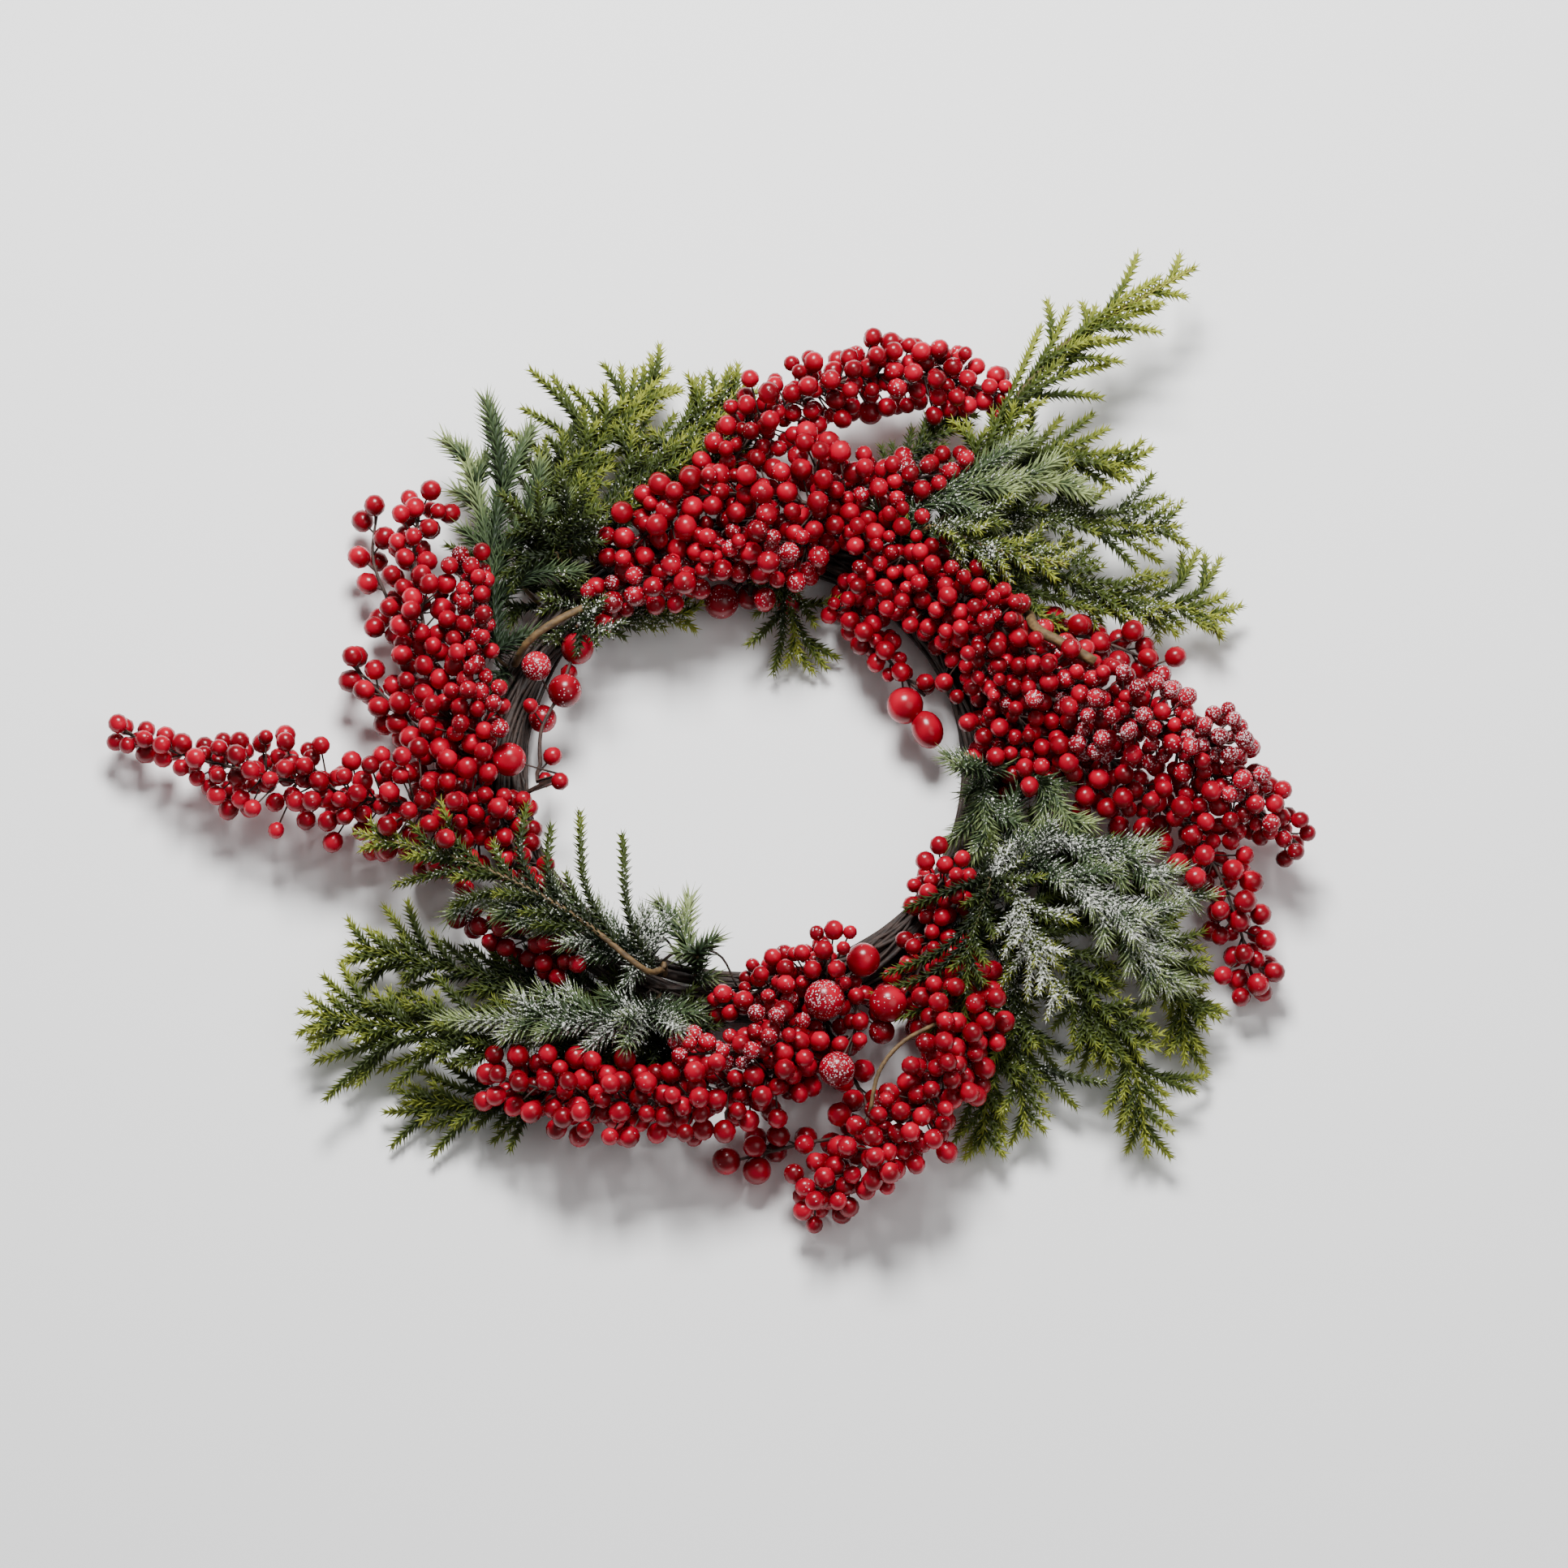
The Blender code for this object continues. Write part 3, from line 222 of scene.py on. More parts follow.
# The berries, and how full a bunch is along its stem: the shares and the fullness there.
BERRY_SEGMENTS = 9
BERRY_BANDS = 6
COUNT_SHARE = 2.6
SPREAD_SHARE = 1.12
BERRY_SWELL = 1.07
LUMP = 16
FULLNESS = ((0, 0.35, 0.7, 1), (0.6, 1.05, 0.85, 0.4))
OWN_FULLNESS = {
    "berry_left_reach": ((0, 0.2, 0.45, 0.68, 0.78, 1), (0.6, 1.5, 1.7, 1.5, 0.3, 0.1)),
    "berry_left_upright": ((0, 0.3, 0.7, 1), (0.45, 0.9, 0.9, 0.5)),
    "berry_left_frost": ((0, 0.4, 1), (0.4, 0.8, 0.6)),
    "berry_right_band": ((0, 0.3, 0.7, 1), (0.8, 1.25, 1.1, 0.6)),
    "berry_top_arch": ((0, 0.2, 0.4, 0.7, 1), (0.2, 0.5, 1.0, 1.0, 0.5)),
    "berry_top_left_upper": ((0, 0.35, 0.7, 1), (0.7, 0.9, 0.85, 0.5)),
    "berry_low_left_main": ((0, 0.3, 0.8, 1), (0.7, 1.0, 0.9, 0.5)),
}
LEAST_LUMP = 0.5
LARGE = 6.2
LARGEST = 10
SEEN_SHARE = 1.2
HIGHEST = 84
BERRY_GROUND = 0.2
TRIES = 60
CHOICES = 5
FIRST_BERRY = 0.06
GOLDEN_SHARE = 0.618034
SHARE_LUCK = 0.04
BEFORE_END = 0.01
SIZE_BIAS = 0.7
NEAR_STEM = 1.3
STRETCHES = (0.95, 1.08)
STALK_BACK = 7
STALK_BACK_RADIUS = 5
STALK_SIDES = 4
STALK_FOOT = 1.3
STALK_SAG = 0.6
TOUCH = 0.25
STALK = 0.45
WIRE_SHARE = 0.6
FROST_LUMP = 18
LUMP_LUCK = 0.6
OWN_LUCK = 0.4
FROST_CONTRAST = 1.5
FROST_MIDDLE = 0.32
LEAST_FROST = 0.02
FROST_COVER = 0.22
FROST_COVER_GAIN = 0.45
FROST_AT_SIDES = 0.6
FROST_ON_TOP = 0.4

# Snow in the finishes: the sizes of grains and crust in metres, and the frost at which crust forms.
NEEDLE_SNOW = (0.0011, 0.0024, 0.25)
BERRY_SNOW = (0.0009, 0.0014, 0.5)
FROST_PATCHES = 100
PATCH_SHARE = 0.5
PATCH_CONTRAST = 0.9
GRAIN_EDGE = (0.45, 0.6)
SNOW_EDGE = (-0.03, 0.03)
SNOW_RELIEF = 0.0004
BERRY_SNOW_RELIEF = 0.0005
BARK_RELIEF = 0.0006

# How mottled and how rough the finishes are.
GREEN_PATCHES = 60
GREEN_LUCK = 0.35
RED_PATCHES = 70
WHITE_GRIT = 900
STEM_GRAIN = 300
TWIG_GRAIN = 260
GRAIN_DETAIL = 5.0
NEEDLE_ROUGHNESS = 0.5
NEEDLE_SHEEN = 0.2
SNOW_ROUGHER = 0.2
BERRY_ROUGHNESS = 0.25
BERRY_SHEEN = 0.35
BERRY_SNOW_ROUGHER = 0.3
BARK_ROUGHNESS = 0.72
FLOOR_ROUGHNESS = 0.9

# Colours, from the darkest to the lightest.
# The darkest greens give both old needles and the painted shade near a shoot's core.
PINE_GREENS = ((0.006, 0.011, 0.002), (0.048, 0.068, 0.009), (0.30, 0.33, 0.04))
FIR_GREENS = ((0.009, 0.018, 0.007), (0.050, 0.078, 0.031), (0.27, 0.33, 0.13))
BERRY_REDS = ((0.13, 0.0, 0.004), (0.255, 0.0, 0.010), (0.43, 0.001, 0.020))
SNOW_WHITES = ((0.46, 0.47, 0.42), (0.86, 0.87, 0.82))
ROSY_WHITES = ((0.55, 0.24, 0.28), (0.90, 0.76, 0.79))
STEM_BROWNS = ((0.05, 0.028, 0.010), (0.17, 0.10, 0.035))
WIRE_BROWNS = ((0.020, 0.010, 0.008), (0.07, 0.035, 0.025))
TWIG_BROWNS = ((0.006, 0.003, 0.002), (0.040, 0.020, 0.013))
GREEN_STOPS = (0.1, 0.5, 0.95)
RED_STOPS = (0.32, 0.5, 0.68)
WHITE_STOPS = (0.35, 0.65)
BARK_STOPS = (0.3, 0.7)

# The floor, the lights with their place, size and power, and the camera.
FLOOR_COLOUR = (0.92, 0.92, 0.92, 1)
FLOOR_SIZE = 8
FLOOR_DROP = 0.0005
WORLD_LIGHT = 0.24
LIGHTS = (("soft_light", (-0.05, 0.9, 1.6), 0.6, 75), ("window_light", (0.9, -0.4, 1.6), 1.2, 8))
LENS = 300
SENSOR_WIDTH = 36
CAMERA_HEIGHT = math.radians(70)
CAMERA_DISTANCE = 6.45
CAMERA_TARGET = (0.0192, -0.0111, 0.02)

Needles = namedtuple("Needles", "name core reach sweep pitch waist")
SHORT = Needles("short", 0.85, 3.9, 3.3, 2.1, 0.4)
LONG = Needles("long", 1.1, 7.6, 7.4, 2.4, 0.5)

# Snow, tone, spacing and length of a spray's shoots, its stem's route, and where and how far its
# main side shoots go. For a bunch: frost, berries, reach, their radii, the stem's route, and the
# large berries with their centre, radius, frost and stretch.
Spray = namedtuple("Spray", "name needles frost tone step length route shoots")
Bunch = namedtuple("Bunch", "name frost count spread radii route large", defaults=((),))

SPRAYS = (
    Spray("fir_low_left_hem", SHORT, 0.0, -0.12, 3.4, 26,
          ((-39, -152, 22), (-79, -164, 20), (-123, -175, 14), (-167, -174, 9)),
          ((0.45, (-123, -193, 8)), (0.62, (-155, -186, 8)), (0.75, (-176, -178, 8)),
           (0.6, (-159, -159, 14)))),
    Spray("fir_low_left_reach", SHORT, 0.1, -0.08, 3.4, 28,
          ((-55, -143, 28), (-119, -147, 30), (-175, -139, 26), (-218, -130, 20)),
          ((0.72, (-207, -113, 24)), (0.55, (-210, -154, 16)), (0.45, (-179, -158, 14)),
           (0.8, (-214, -143, 16)), (0.4, (-167, -122, 26)), (0.65, (-195, -165, 10)))),
    Spray("fir_low_left_upper", SHORT, 0.0, -0.14, 3.4, 26,
          ((-67, -118, 20), (-115, -114, 22), (-155, -106, 22), (-195, -94, 18)),
          ((0.6, (-177, -76, 20)), (0.7, (-195, -112, 16)), (0.45, (-148, -94, 22)),
           (0.5, (-175, -123, 16)))),
    Spray("fir_low_left_flocked", LONG, 0.85, 0.0, 9, 26,
          ((-47, -142, 44), (-87, -143, 46), (-151, -140, 34)),
          ((0.35, (-87, -128, 46)), (0.5, (-111, -158, 34)))),
    Spray("fir_low_left_stub", LONG, 0.32, 0.1, 14, 13,
          ((-24, -112, 28), (-29, -96, 32), (-27, -74, 30)),
          ((0.45, (-42, -76, 28)),)),
    Spray("fir_low_right_corner", SHORT, 0.0, -0.08, 4, 26,
          ((118, -115, 24), (119, -157, 22), (116, -199, 12)),
          ((0.5, (103, -194, 12)), (0.6, (109, -172, 16)))),
    Spray("fir_low_right_bottom", SHORT, 0.35, -0.12, 4, 28,
          ((131, -99, 28), (131, -142, 28), (138, -192, 16)),
          ((0.5, (162, -177, 14)), (0.4, (153, -160, 18)))),
    Spray("fir_low_right_tail", SHORT, 0.1, -0.04, 4, 30,
          ((139, -88, 32), (165, -127, 34), (190, -163, 28), (197, -202, 16)),
          ((0.66, (183, -190, 16)), (0.66, (220, -171, 18)), (0.5, (165, -161, 20)),
           (0.42, (201, -140, 24)))),
    Spray("fir_low_right_edge", SHORT, 0.1, -0.08, 4, 28,
          ((157, -62, 30), (189, -88, 32), (211, -116, 26), (216, -155, 16)),
          ((0.5, (225, -99, 24)), (0.6, (224, -120, 20)), (0.7, (224, -131, 16)))),
    Spray("fir_top_left_outer", SHORT, 0.0, 0.0, 2.6, 30,
          ((-107, 88, 28), (-95, 129, 32), (-71, 168, 32), (-38, 208, 24)),
          ((0.5, (-111, 186, 26)), (0.5, (-96, 203, 26)), (0.6, (-87, 197, 28)), (0.7, (-62, 208, 26)),
           (0.72, (-46, 191, 24)), (0.4, (-119, 174, 26)))),
    Spray("fir_top_left_mid", SHORT, 0.2, -0.02, 2.6, 30,
          ((-91, 99, 34), (-63, 135, 40), (-31, 166, 38), (3, 198, 30)),
          ((0.6, (-24, 199, 34)), (0.75, (-9, 203, 30)), (0.8, (7, 172, 32)), (0.5, (-63, 174, 38)))),
    Spray("fir_top_left_inner", SHORT, 0.45, -0.08, 2.8, 26,
          ((-79, 107, 34), (-47, 133, 40), (-15, 152, 40), (11, 162, 36)),
          ((0.5, (-35, 160, 42)), (0.6, (-47, 168, 42)))),
    Spray("fir_top_left_blue", LONG, 0.03, -0.02, 16, 24,
          ((-121, 50, 28), (-124, 75, 36), (-127, 105, 38), (-140, 163, 30)),
          ((0.45, (-106, 170, 40)), (0.4, (-87, 131, 43)), (0.28, (-82, 94, 39)))),
    Spray("fir_left_inner_low", SHORT, 0.5, -0.1, 5, 18,
          ((-91, 70, 22), (-63, 77, 22), (-27, 79, 20)),
          ((0.3, (-81, 92, 36)), (0.6, (-47, 92, 24)))),
    Spray("fir_top_hanging", SHORT, 0.25, 0.05, 9, 18,
          ((18, 100, 18), (22, 84, 16), (27, 57, 12)),
          ((0.2, (14, 51, 10)), (0.45, (40, 54, 10)), (0.3, (46, 86, 20)), (0.2, (5, 80, 16)))),
    Spray("fir_top_dark", SHORT, 0.0, -0.25, 6, 20,
          ((67, 131, 34), (81, 155, 38), (111, 186, 32)),
          ((0.45, (83, 171, 36)),)),
    Spray("fir_right_lower_fan", SHORT, 0.35, 0.0, 4, 28,
          ((129, 100, 30), (177, 86, 32), (209, 81, 26), (240, 76, 18)),
          ((0.7, (225, 111, 24)), (0.78, (236, 107, 22)), (0.5, (208, 71, 18)), (0.45, (209, 97, 28)),
           (0.4, (201, 62, 16)))),
    Spray("fir_right_mid_fan", SHORT, 0.4, -0.05, 4, 26,
          ((121, 116, 34), (165, 122, 38), (193, 120, 34), (216, 122, 28)),
          ((0.6, (208, 137, 30)), (0.55, (206, 104, 26)), (0.4, (169, 145, 36)))),
    Spray("fir_right_upper_fan", SHORT, 0.1, 0.0, 4, 26,
          ((113, 134, 30), (145, 152, 34), (173, 155, 32), (198, 154, 26)),
          ((0.45, (173, 182, 28)), (0.52, (180, 174, 28)), (0.6, (188, 162, 28)), (0.4, (157, 179, 30)))),
    Spray("fir_right_tall", SHORT, 0.0, 0.15, 11, 26,
          ((109, 136, 38), (127, 172, 44), (157, 209, 48), (193, 234, 48), (224, 255, 42)),
          ((0.3, (147, 220, 50)), (0.62, (206, 247, 48)), (0.66, (206, 233, 44)),
           (0.55, (191, 217, 42)), (0.42, (181, 204, 40)), (0.5, (161, 229, 52)))),
    Spray("fir_right_under", SHORT, 0.1, -0.1, 6, 24,
          ((113, 95, 44), (136, 76, 44), (159, 63, 38)),
          ((0.4, (171, 74, 38)), (0.3, (149, 95, 46)))),
    Spray("fir_right_blue", LONG, 0.4, 0.1, 20, 24,
          ((85, 123, 48), (117, 136, 54), (164, 137, 48)),
          ((0.35, (142, 161, 50)), (0.3, (125, 114, 52)))),
    Spray("fir_right_olive", SHORT, 0.6, 0.05, 7, 22,
          ((89, 111, 54), (125, 97, 60), (158, 92, 54)),
          ((0.4, (110, 81, 52)), (0.55, (131, 83, 54)), (0.3, (129, 111, 60)))),
    Spray("fir_low_right_blue_inner", LONG, 0.4, 0.05, 11, 20,
          ((115, -13, 36), (118, -35, 40), (123, -61, 36)),
          ((0.35, (100, -47, 34)), (0.35, (139, -42, 38)))),
    Spray("fir_low_right_blue_outer", LONG, 0.4, 0.1, 12, 20,
          ((141, -16, 44), (158, -38, 48), (171, -64, 44)),
          ((0.4, (145, -41, 46)),)),
    Spray("fir_low_right_flocked_outer", LONG, 0.85, 0.0, 10, 22,
          ((149, -48, 44), (185, -60, 48), (222, -81, 40)),
          ((0.45, (201, -50, 46)),)),
    Spray("fir_low_right_flocked_mid", LONG, 0.85, 0.0, 10, 26,
          ((145, -65, 50), (177, -87, 54), (208, -127, 44)),
          ((0.5, (209, -102, 48)),)),
    Spray("fir_low_right_white", SHORT, 1.0, 0.0, 9, 20,
          ((131, -76, 52), (138, -97, 58), (154, -138, 50)),
          ((0.4, (127, -112, 54)), (0.4, (162, -95, 54)), (0.55, (138, -133, 50)),
           (0.6, (152, -118, 56)))),
    Spray("fir_low_right_fingers", SHORT, 0.15, -0.15, 9, 20,
          ((120, -71, 50), (111, -105, 56), (107, -153, 46)),
          ((0.25, (79, -87, 50)), (0.45, (69, -121, 50)), (0.55, (63, -130, 46)),
           (0.7, (74, -142, 44)), (0.8, (89, -149, 44)))),
    Spray("fir_left_over_grey", LONG, 0.9, -0.1, 8, 22,
          ((-51, -114, 44), (-83, -95, 50), (-111, -84, 48), (-139, -79, 42)),
          ((0.5, (-95, -74, 52)),)),
    Spray("fir_left_over_main", SHORT, 0.3, -0.1, 8, 26,
          ((-47, -121, 54), (-79, -97, 60), (-123, -71, 58), (-191, -45, 44)),
          ((0.12, (-60, -51, 56)), (0.24, (-81, -40, 58)), (0.4, (-95, -47, 58)), (0.5, (-107, -36, 58)),
           (0.66, (-149, -33, 54)), (0.6, (-171, -73, 46)), (0.68, (-167, -60, 48)),
           (0.5, (-143, -85, 50)))),
)
BUNCHES = (
    Bunch("berry_left_wire_tall", 0.05, 10, 10, (4.6, 5.6),
          ((-148, 1, 22), (-161, 34, 24), (-175, 79, 24), (-185, 108, 22), (-183, 133, 22))),
    Bunch("berry_left_wire_low", 0.05, 11, 9, (4.6, 5.6),
          ((-149, 0, 30), (-165, 17, 32), (-181, 34, 30), (-197, 52, 26))),
    Bunch("berry_left_reach", 0.08, 76, 20, (3.6, 5.2),
          ((-143, -34, 36), (-187, -25, 38), (-236, -12, 36), (-276, 1, 28), (-309, 17, 20))),
    Bunch("berry_left_upright", 0.12, 42, 14, (4.0, 5.2),
          ((-139, -3, 32), (-151, 29, 40), (-159, 65, 44), (-164, 96, 42), (-161, 133, 34))),
    Bunch("berry_left_frost", 0.6, 28, 9, (3.2, 4.6),
          ((-129, 5, 46), (-136, 33, 52), (-137, 63, 52), (-135, 97, 46))),
    Bunch("berry_left_large", 0.2, 2, 8, (3.6, 4.6),
          ((-105, -16, 28), (-100, 14, 34), (-92, 31, 34), (-85, 53, 32)),
          (((-116, -7, 44), 8.4, 0.15, 1), ((-89, 32, 36), 8.4, 0.25, 1),
           ((-83, 56, 32), 8.2, 0.1, 1), ((-103, 42, 44), 7.4, 0.5, 1),
           ((-100, 21, 26), 7.0, 0.2, 1))),
    Bunch("berry_left_under", 0.2, 10, 8, (3.6, 4.8),
          ((-125, -35, 38), (-111, -57, 40), (-100, -76, 38))),
    Bunch("berry_low_left_row", 0.0, 24, 7, (3.8, 4.8),
          ((-87, -103, 28), (-111, -95, 30), (-139, -82, 28))),
    Bunch("berry_top_arch", 0.35, 80, 15, (3.2, 5.2),
          ((-9, 143, 42), (27, 182, 50), (77, 195, 50), (127, 189, 38)),
          (((62, 180, 36), 6.4, 0.1, 1), ((75, 185, 34), 5.6, 0.1, 1))),
    Bunch("berry_top_left_upper", 0.35, 52, 14, (3.4, 5.6),
          ((37, 121, 50), (5, 128, 56), (-23, 127, 54), (-47, 113, 48), (-63, 96, 42))),
    Bunch("berry_top_left_lower", 0.6, 52, 13, (3.4, 5.6),
          ((31, 107, 44), (5, 105, 50), (-23, 94, 48), (-51, 88, 42), (-74, 79, 36))),
    Bunch("berry_top_centre", 0.25, 18, 11, (4.0, 5.8),
          ((38, 126, 46), (35, 141, 58), (34, 162, 58))),
    Bunch("berry_top_right_short", 0.6, 28, 10, (3.4, 4.8),
          ((53, 132, 48), (79, 137, 52), (108, 144, 48))),
    Bunch("berry_top_hanging", 0.0, 2, 6, (3.4, 4.4),
          ((3, 100, 20), (-7, 90, 18)),
          (((-12, 86, 18), 8.8, 0.25, 1), ((2, 90, 14), 6.4, 0.1, 1), ((22, 88, 12), 6.6, 0.1, 1))),
    Bunch("berry_right_inner_chain", 0.1, 24, 7, (3.2, 5.0),
          ((52, 88, 26), (62, 65, 28), (76, 45, 28), (89, 33, 26)),
          (((79, 28, 26), 9.2, 0.05, 1), ((90, 16, 24), 7.8, 0.0, 1.25))),
    Bunch("berry_right_band", 0.3, 72, 15, (3.0, 4.6),
          ((77, 95, 42), (101, 67, 48), (123, 33, 50), (138, 5, 46), (140, -20, 36))),
    Bunch("berry_right_main", 0.45, 92, 18, (3.3, 5.0),
          ((105, 72, 48), (149, 38, 56), (193, 7, 58), (233, -19, 48), (272, -46, 30))),
    Bunch("berry_right_snowy", 0.95, 62, 14, (3.2, 4.7),
          ((129, 36, 42), (169, 11, 54), (205, 7, 64), (235, -11, 60), (249, -28, 50))),
    Bunch("berry_right_drop", 0.2, 60, 13, (3.6, 5.6),
          ((153, 12, 38), (193, -19, 42), (225, -50, 38), (241, -83, 28), (251, -119, 16))),
    Bunch("berry_right_wire", 0.0, 10, 9, (4.6, 5.6),
          ((149, 63, 32), (181, 57, 34), (209, 44, 30))),
    Bunch("berry_right_stub", 0.1, 30, 11, (3.2, 5.2),
          ((129, 14, 44), (157, -6, 48), (187, -33, 38))),
    Bunch("berry_low_right_inner", 0.1, 30, 9, (3.2, 4.8),
          ((99, -72, 36), (90, -103, 38), (78, -129, 36)),
          (((87, -69, 34), 5.2, 0.1, 1),)),
    Bunch("berry_low_right_main", 0.35, 72, 17, (3.8, 5.4),
          ((107, -136, 40), (97, -170, 46), (71, -204, 40), (50, -217, 28), (28, -227, 16))),
    Bunch("berry_low_right_large", 0.3, 6, 9, (3.4, 4.8),
          ((55, -136, 42), (51, -160, 42)),
          (((58, -110, 40), 8.4, 0.1, 1), ((39, -134, 50), 10.0, 0.45, 1),
           ((70, -134, 44), 9.4, 0.15, 1), ((45, -170, 50), 8.8, 0.5, 1),
           ((67, -145, 34), 6.4, 0.2, 1))),
    Bunch("berry_low_tail", 0.1, 9, 8, (4.6, 5.8),
          ((57, -192, 24), (25, -199, 20), (-5, -205, 14)),
          (((-9, -205, 14), 7.0, 0.05, 1), ((6, -210, 14), 7.0, 0.05, 1))),
    Bunch("berry_low_left_main", 0.2, 80, 15, (3.8, 5.4),
          ((25, -159, 40), (-15, -180, 44), (-67, -183, 42), (-124, -167, 30))),
    Bunch("berry_low_frost", 0.8, 24, 8, (3.2, 4.6),
          ((19, -155, 50), (-7, -162, 54), (-33, -162, 48))),
    Bunch("berry_low_inner_row", 0.4, 32, 10, (2.8, 4.8),
          ((41, -115, 34), (17, -122, 38), (-13, -134, 40))),
)


def smooth_line(points, step=LINE_STEP):
    """A smooth curve through the points, read off at even steps."""
    points = np.array(points, float)
    spans = np.linalg.norm(np.diff(points, axis=0), axis=1)[:, None]
    slopes = np.diff(points, axis=0) / spans
    inner = (slopes[:-1] * spans[1:] + slopes[1:] * spans[:-1]) / (spans[:-1] + spans[1:])
    tangents = np.vstack((slopes[:1], inner, slopes[-1:]))
    t = np.linspace(0, 1, CURVE_SAMPLES, endpoint=False)[:, None]
    runs = []
    for k, span in enumerate(spans):
        run = points[k] * (1 + 2 * t) * (1 - t) ** 2 + points[k + 1] * t * t * (3 - 2 * t)
        run += span * (tangents[k] * t * (1 - t) ** 2 + tangents[k + 1] * t * t * (t - 1))
        runs.append(run)
    return even_steps(np.vstack(runs + [points[-1:]]), step)


def even_steps(points, step):
    length = distances(points)[-1]
    return read_off(points, np.linspace(0, length, max(3, round(length / step) + 1)))


def read_off(points, stops):
    """The points that lie the given distances along a line."""
    along = distances(points)
    places = [np.interp(stops, along, points[:, axis]) for axis in range(3)]
    return np.column_stack(places).round(DECIMALS)


def distances(points):
    """How far along the line each of its points lies."""
    return np.concatenate(([0], np.cumsum(np.linalg.norm(np.diff(points, axis=0), axis=1))))


def heading(line, index):
    ahead = line[min(index + 1, len(line) - 1)] - line[max(index - 1, 0)]
    return ahead / np.linalg.norm(ahead)


def ring_shape():
    """The twisted ring: a circle spun round, raised in lobes that wind round it, and flat below."""
    ring = bmesh.new()
    place = Matrix.Translation((RING_RADIUS, 0, 0)) @ Matrix.Rotation(math.pi / 2, 4, "X")
    bmesh.ops.create_circle(ring, segments=RING_SIDES, radius=RING_THICKNESS / 2, matrix=place)
    bmesh.ops.spin(ring, geom=ring.verts[:] + ring.edges[:], axis=(0, 0, 1), cent=(0, 0, 0),
                   angle=2 * math.pi, steps=RING_STEPS, use_merge=True)
    for vert in ring.verts:
        round_ring = math.atan2(vert.co.y, vert.co.x)
        outward = math.hypot(vert.co.x, vert.co.y) - RING_RADIUS
        round_tube = math.atan2(vert.co.z, outward)
        lobe = RING_LOBE_HEIGHT * math.cos(RING_LOBES * round_tube - RING_TWISTS * round_ring)
        reach = RING_THICKNESS / 2 + lobe
        across = RING_RADIUS + reach * math.cos(round_tube)
        height = RING_CENTRE_HEIGHT + reach * math.sin(round_tube)
        if height < RING_FLAT_BELOW:
            height = 0
        vert.co = (across * math.cos(round_ring), across * math.sin(round_ring), height)
    bmesh.ops.triangulate(ring, faces=ring.faces[:])
    bmesh.ops.recalc_face_normals(ring, faces=ring.faces[:])
    return ring


class Line:
    """The centre line of a stem or side shoot: its start stays put while the rest can give way."""

    def __init__(self, owner, points, radii, margin, parent=None, index=0):
        self.owner = owner
        self.points = points
        self.home = points
        self.radii = radii
        self.margin = margin
        self.parent = parent
        self.index = index
        self.freedom = np.clip((np.arange(len(points)) - 1) / STIFF_POINTS, 0, 1)[:, None]
        self.move = np.zeros_like(points)


def seated_line(ring_tree, route, taken):
    """A line from the ring through the route, seated where its first stretch has most room."""
    best = None
    for number in range(SEAT_TRIES):
        turn = SEAT_TURN * ((number + 1) // 2) * (-1) ** number
        start = Matrix.Rotation(math.radians(turn), 3, "Z") @ Vector(route[0])
        place = ring_tree.find_nearest(start)[0]
        normal = (place - ring_middle(place)).normalized()
        foot = place + normal * seat_gap(ring_tree, place, normal)
        rise = foot + normal * SEAT_RISE
        further = [Vector(point) for point in route if (Vector(point) - rise).length > SEAT_SKIP]
        line = smooth_line([foot, rise, *further])
        away = np.linalg.norm(line[:SEAT_POINTS, None] - taken[None], axis=2)
        room = away.min() if away.size else SEAT_ROOM
        if best is None or room > best[0]:
            best = (room, line)
        if room >= SEAT_ROOM:
            break
    return best[1]


def ring_middle(place):
    """The point on the ring's centre line that is nearest to a place."""
    across = math.hypot(place.x, place.y) / RING_RADIUS
    return Vector((place.x / across, place.y / across, RING_CENTRE_HEIGHT))


def seat_gap(ring_tree, place, normal):
    """The smallest gap that keeps a stem's flat end clear of the ring's uneven surface."""
    side = normal.orthogonal().normalized() * BERRY_STEM[0]
    for gap in SEAT_GAPS:
        for corner in range(6):
            rim = Matrix.Rotation(corner * math.pi / 3, 3, normal) @ side
            point = place + normal * gap + rim
            nearest = ring_tree.find_nearest(point)[0]
            middle = ring_middle(point)
            within = (point - middle).length < (nearest - middle).length
            if within or (point - nearest).length < SEAT_CLEARANCE:
                break
        else:
            return gap
    return SEAT_GAPS[-1]


def taper(line, thick, thin):
    return np.linspace(thick, thin, len(line))


def shoot_line(stem, share, tip):
    """A side shoot, which bends away from its stem towards its tip."""
    index = round(share * (len(stem.points) - 1))
    base = stem.points[index]
    end = np.array(tip, float)
    reach = end - base
    forward = heading(stem.points, index)
    bend = (base + end) / 2 + (forward * np.linalg.norm(reach) - reach) * SHOOT_FORWARD
    points = smooth_line([base, bend, end])
    return Line(stem.owner, points, taper(points, *SHOOT_CORE), SHOOT_MARGIN, stem, index)


def close_pairs(lines):
    """Points of different lines that could meet, apart from those where a shoot leaves its stem."""
    points = np.vstack([line.points for line in lines])
    reaches = np.concatenate([line.radii + line.margin for line in lines])
    names = [plan.name for plan in (*BUNCHES, *SPRAYS)]
    owners = np.concatenate([np.full(len(line.points), names.index(line.owner)) for line in lines])
    near_start = np.concatenate([line.freedom[:, 0] < 1 for line in lines])
    firsts, seconds = [], []
    start = 0
    for line in lines:
        end = start + len(line.points)
        away = np.linalg.norm(line.points[:, None] - points[None, end:], axis=2)
        near = away < reaches[start:end, None] + reaches[None, end:] + PAIR_SLACK
        same = owners[start] == owners[end:]
        starting = near_start[start:end, None] | near_start[None, end:]
        near &= ~(same[None] & starting)
        first, second = np.nonzero(near)
        firsts.append(first + start)
        seconds.append(second + end)
        start = end
    return np.concatenate(firsts), np.concatenate(seconds), reaches


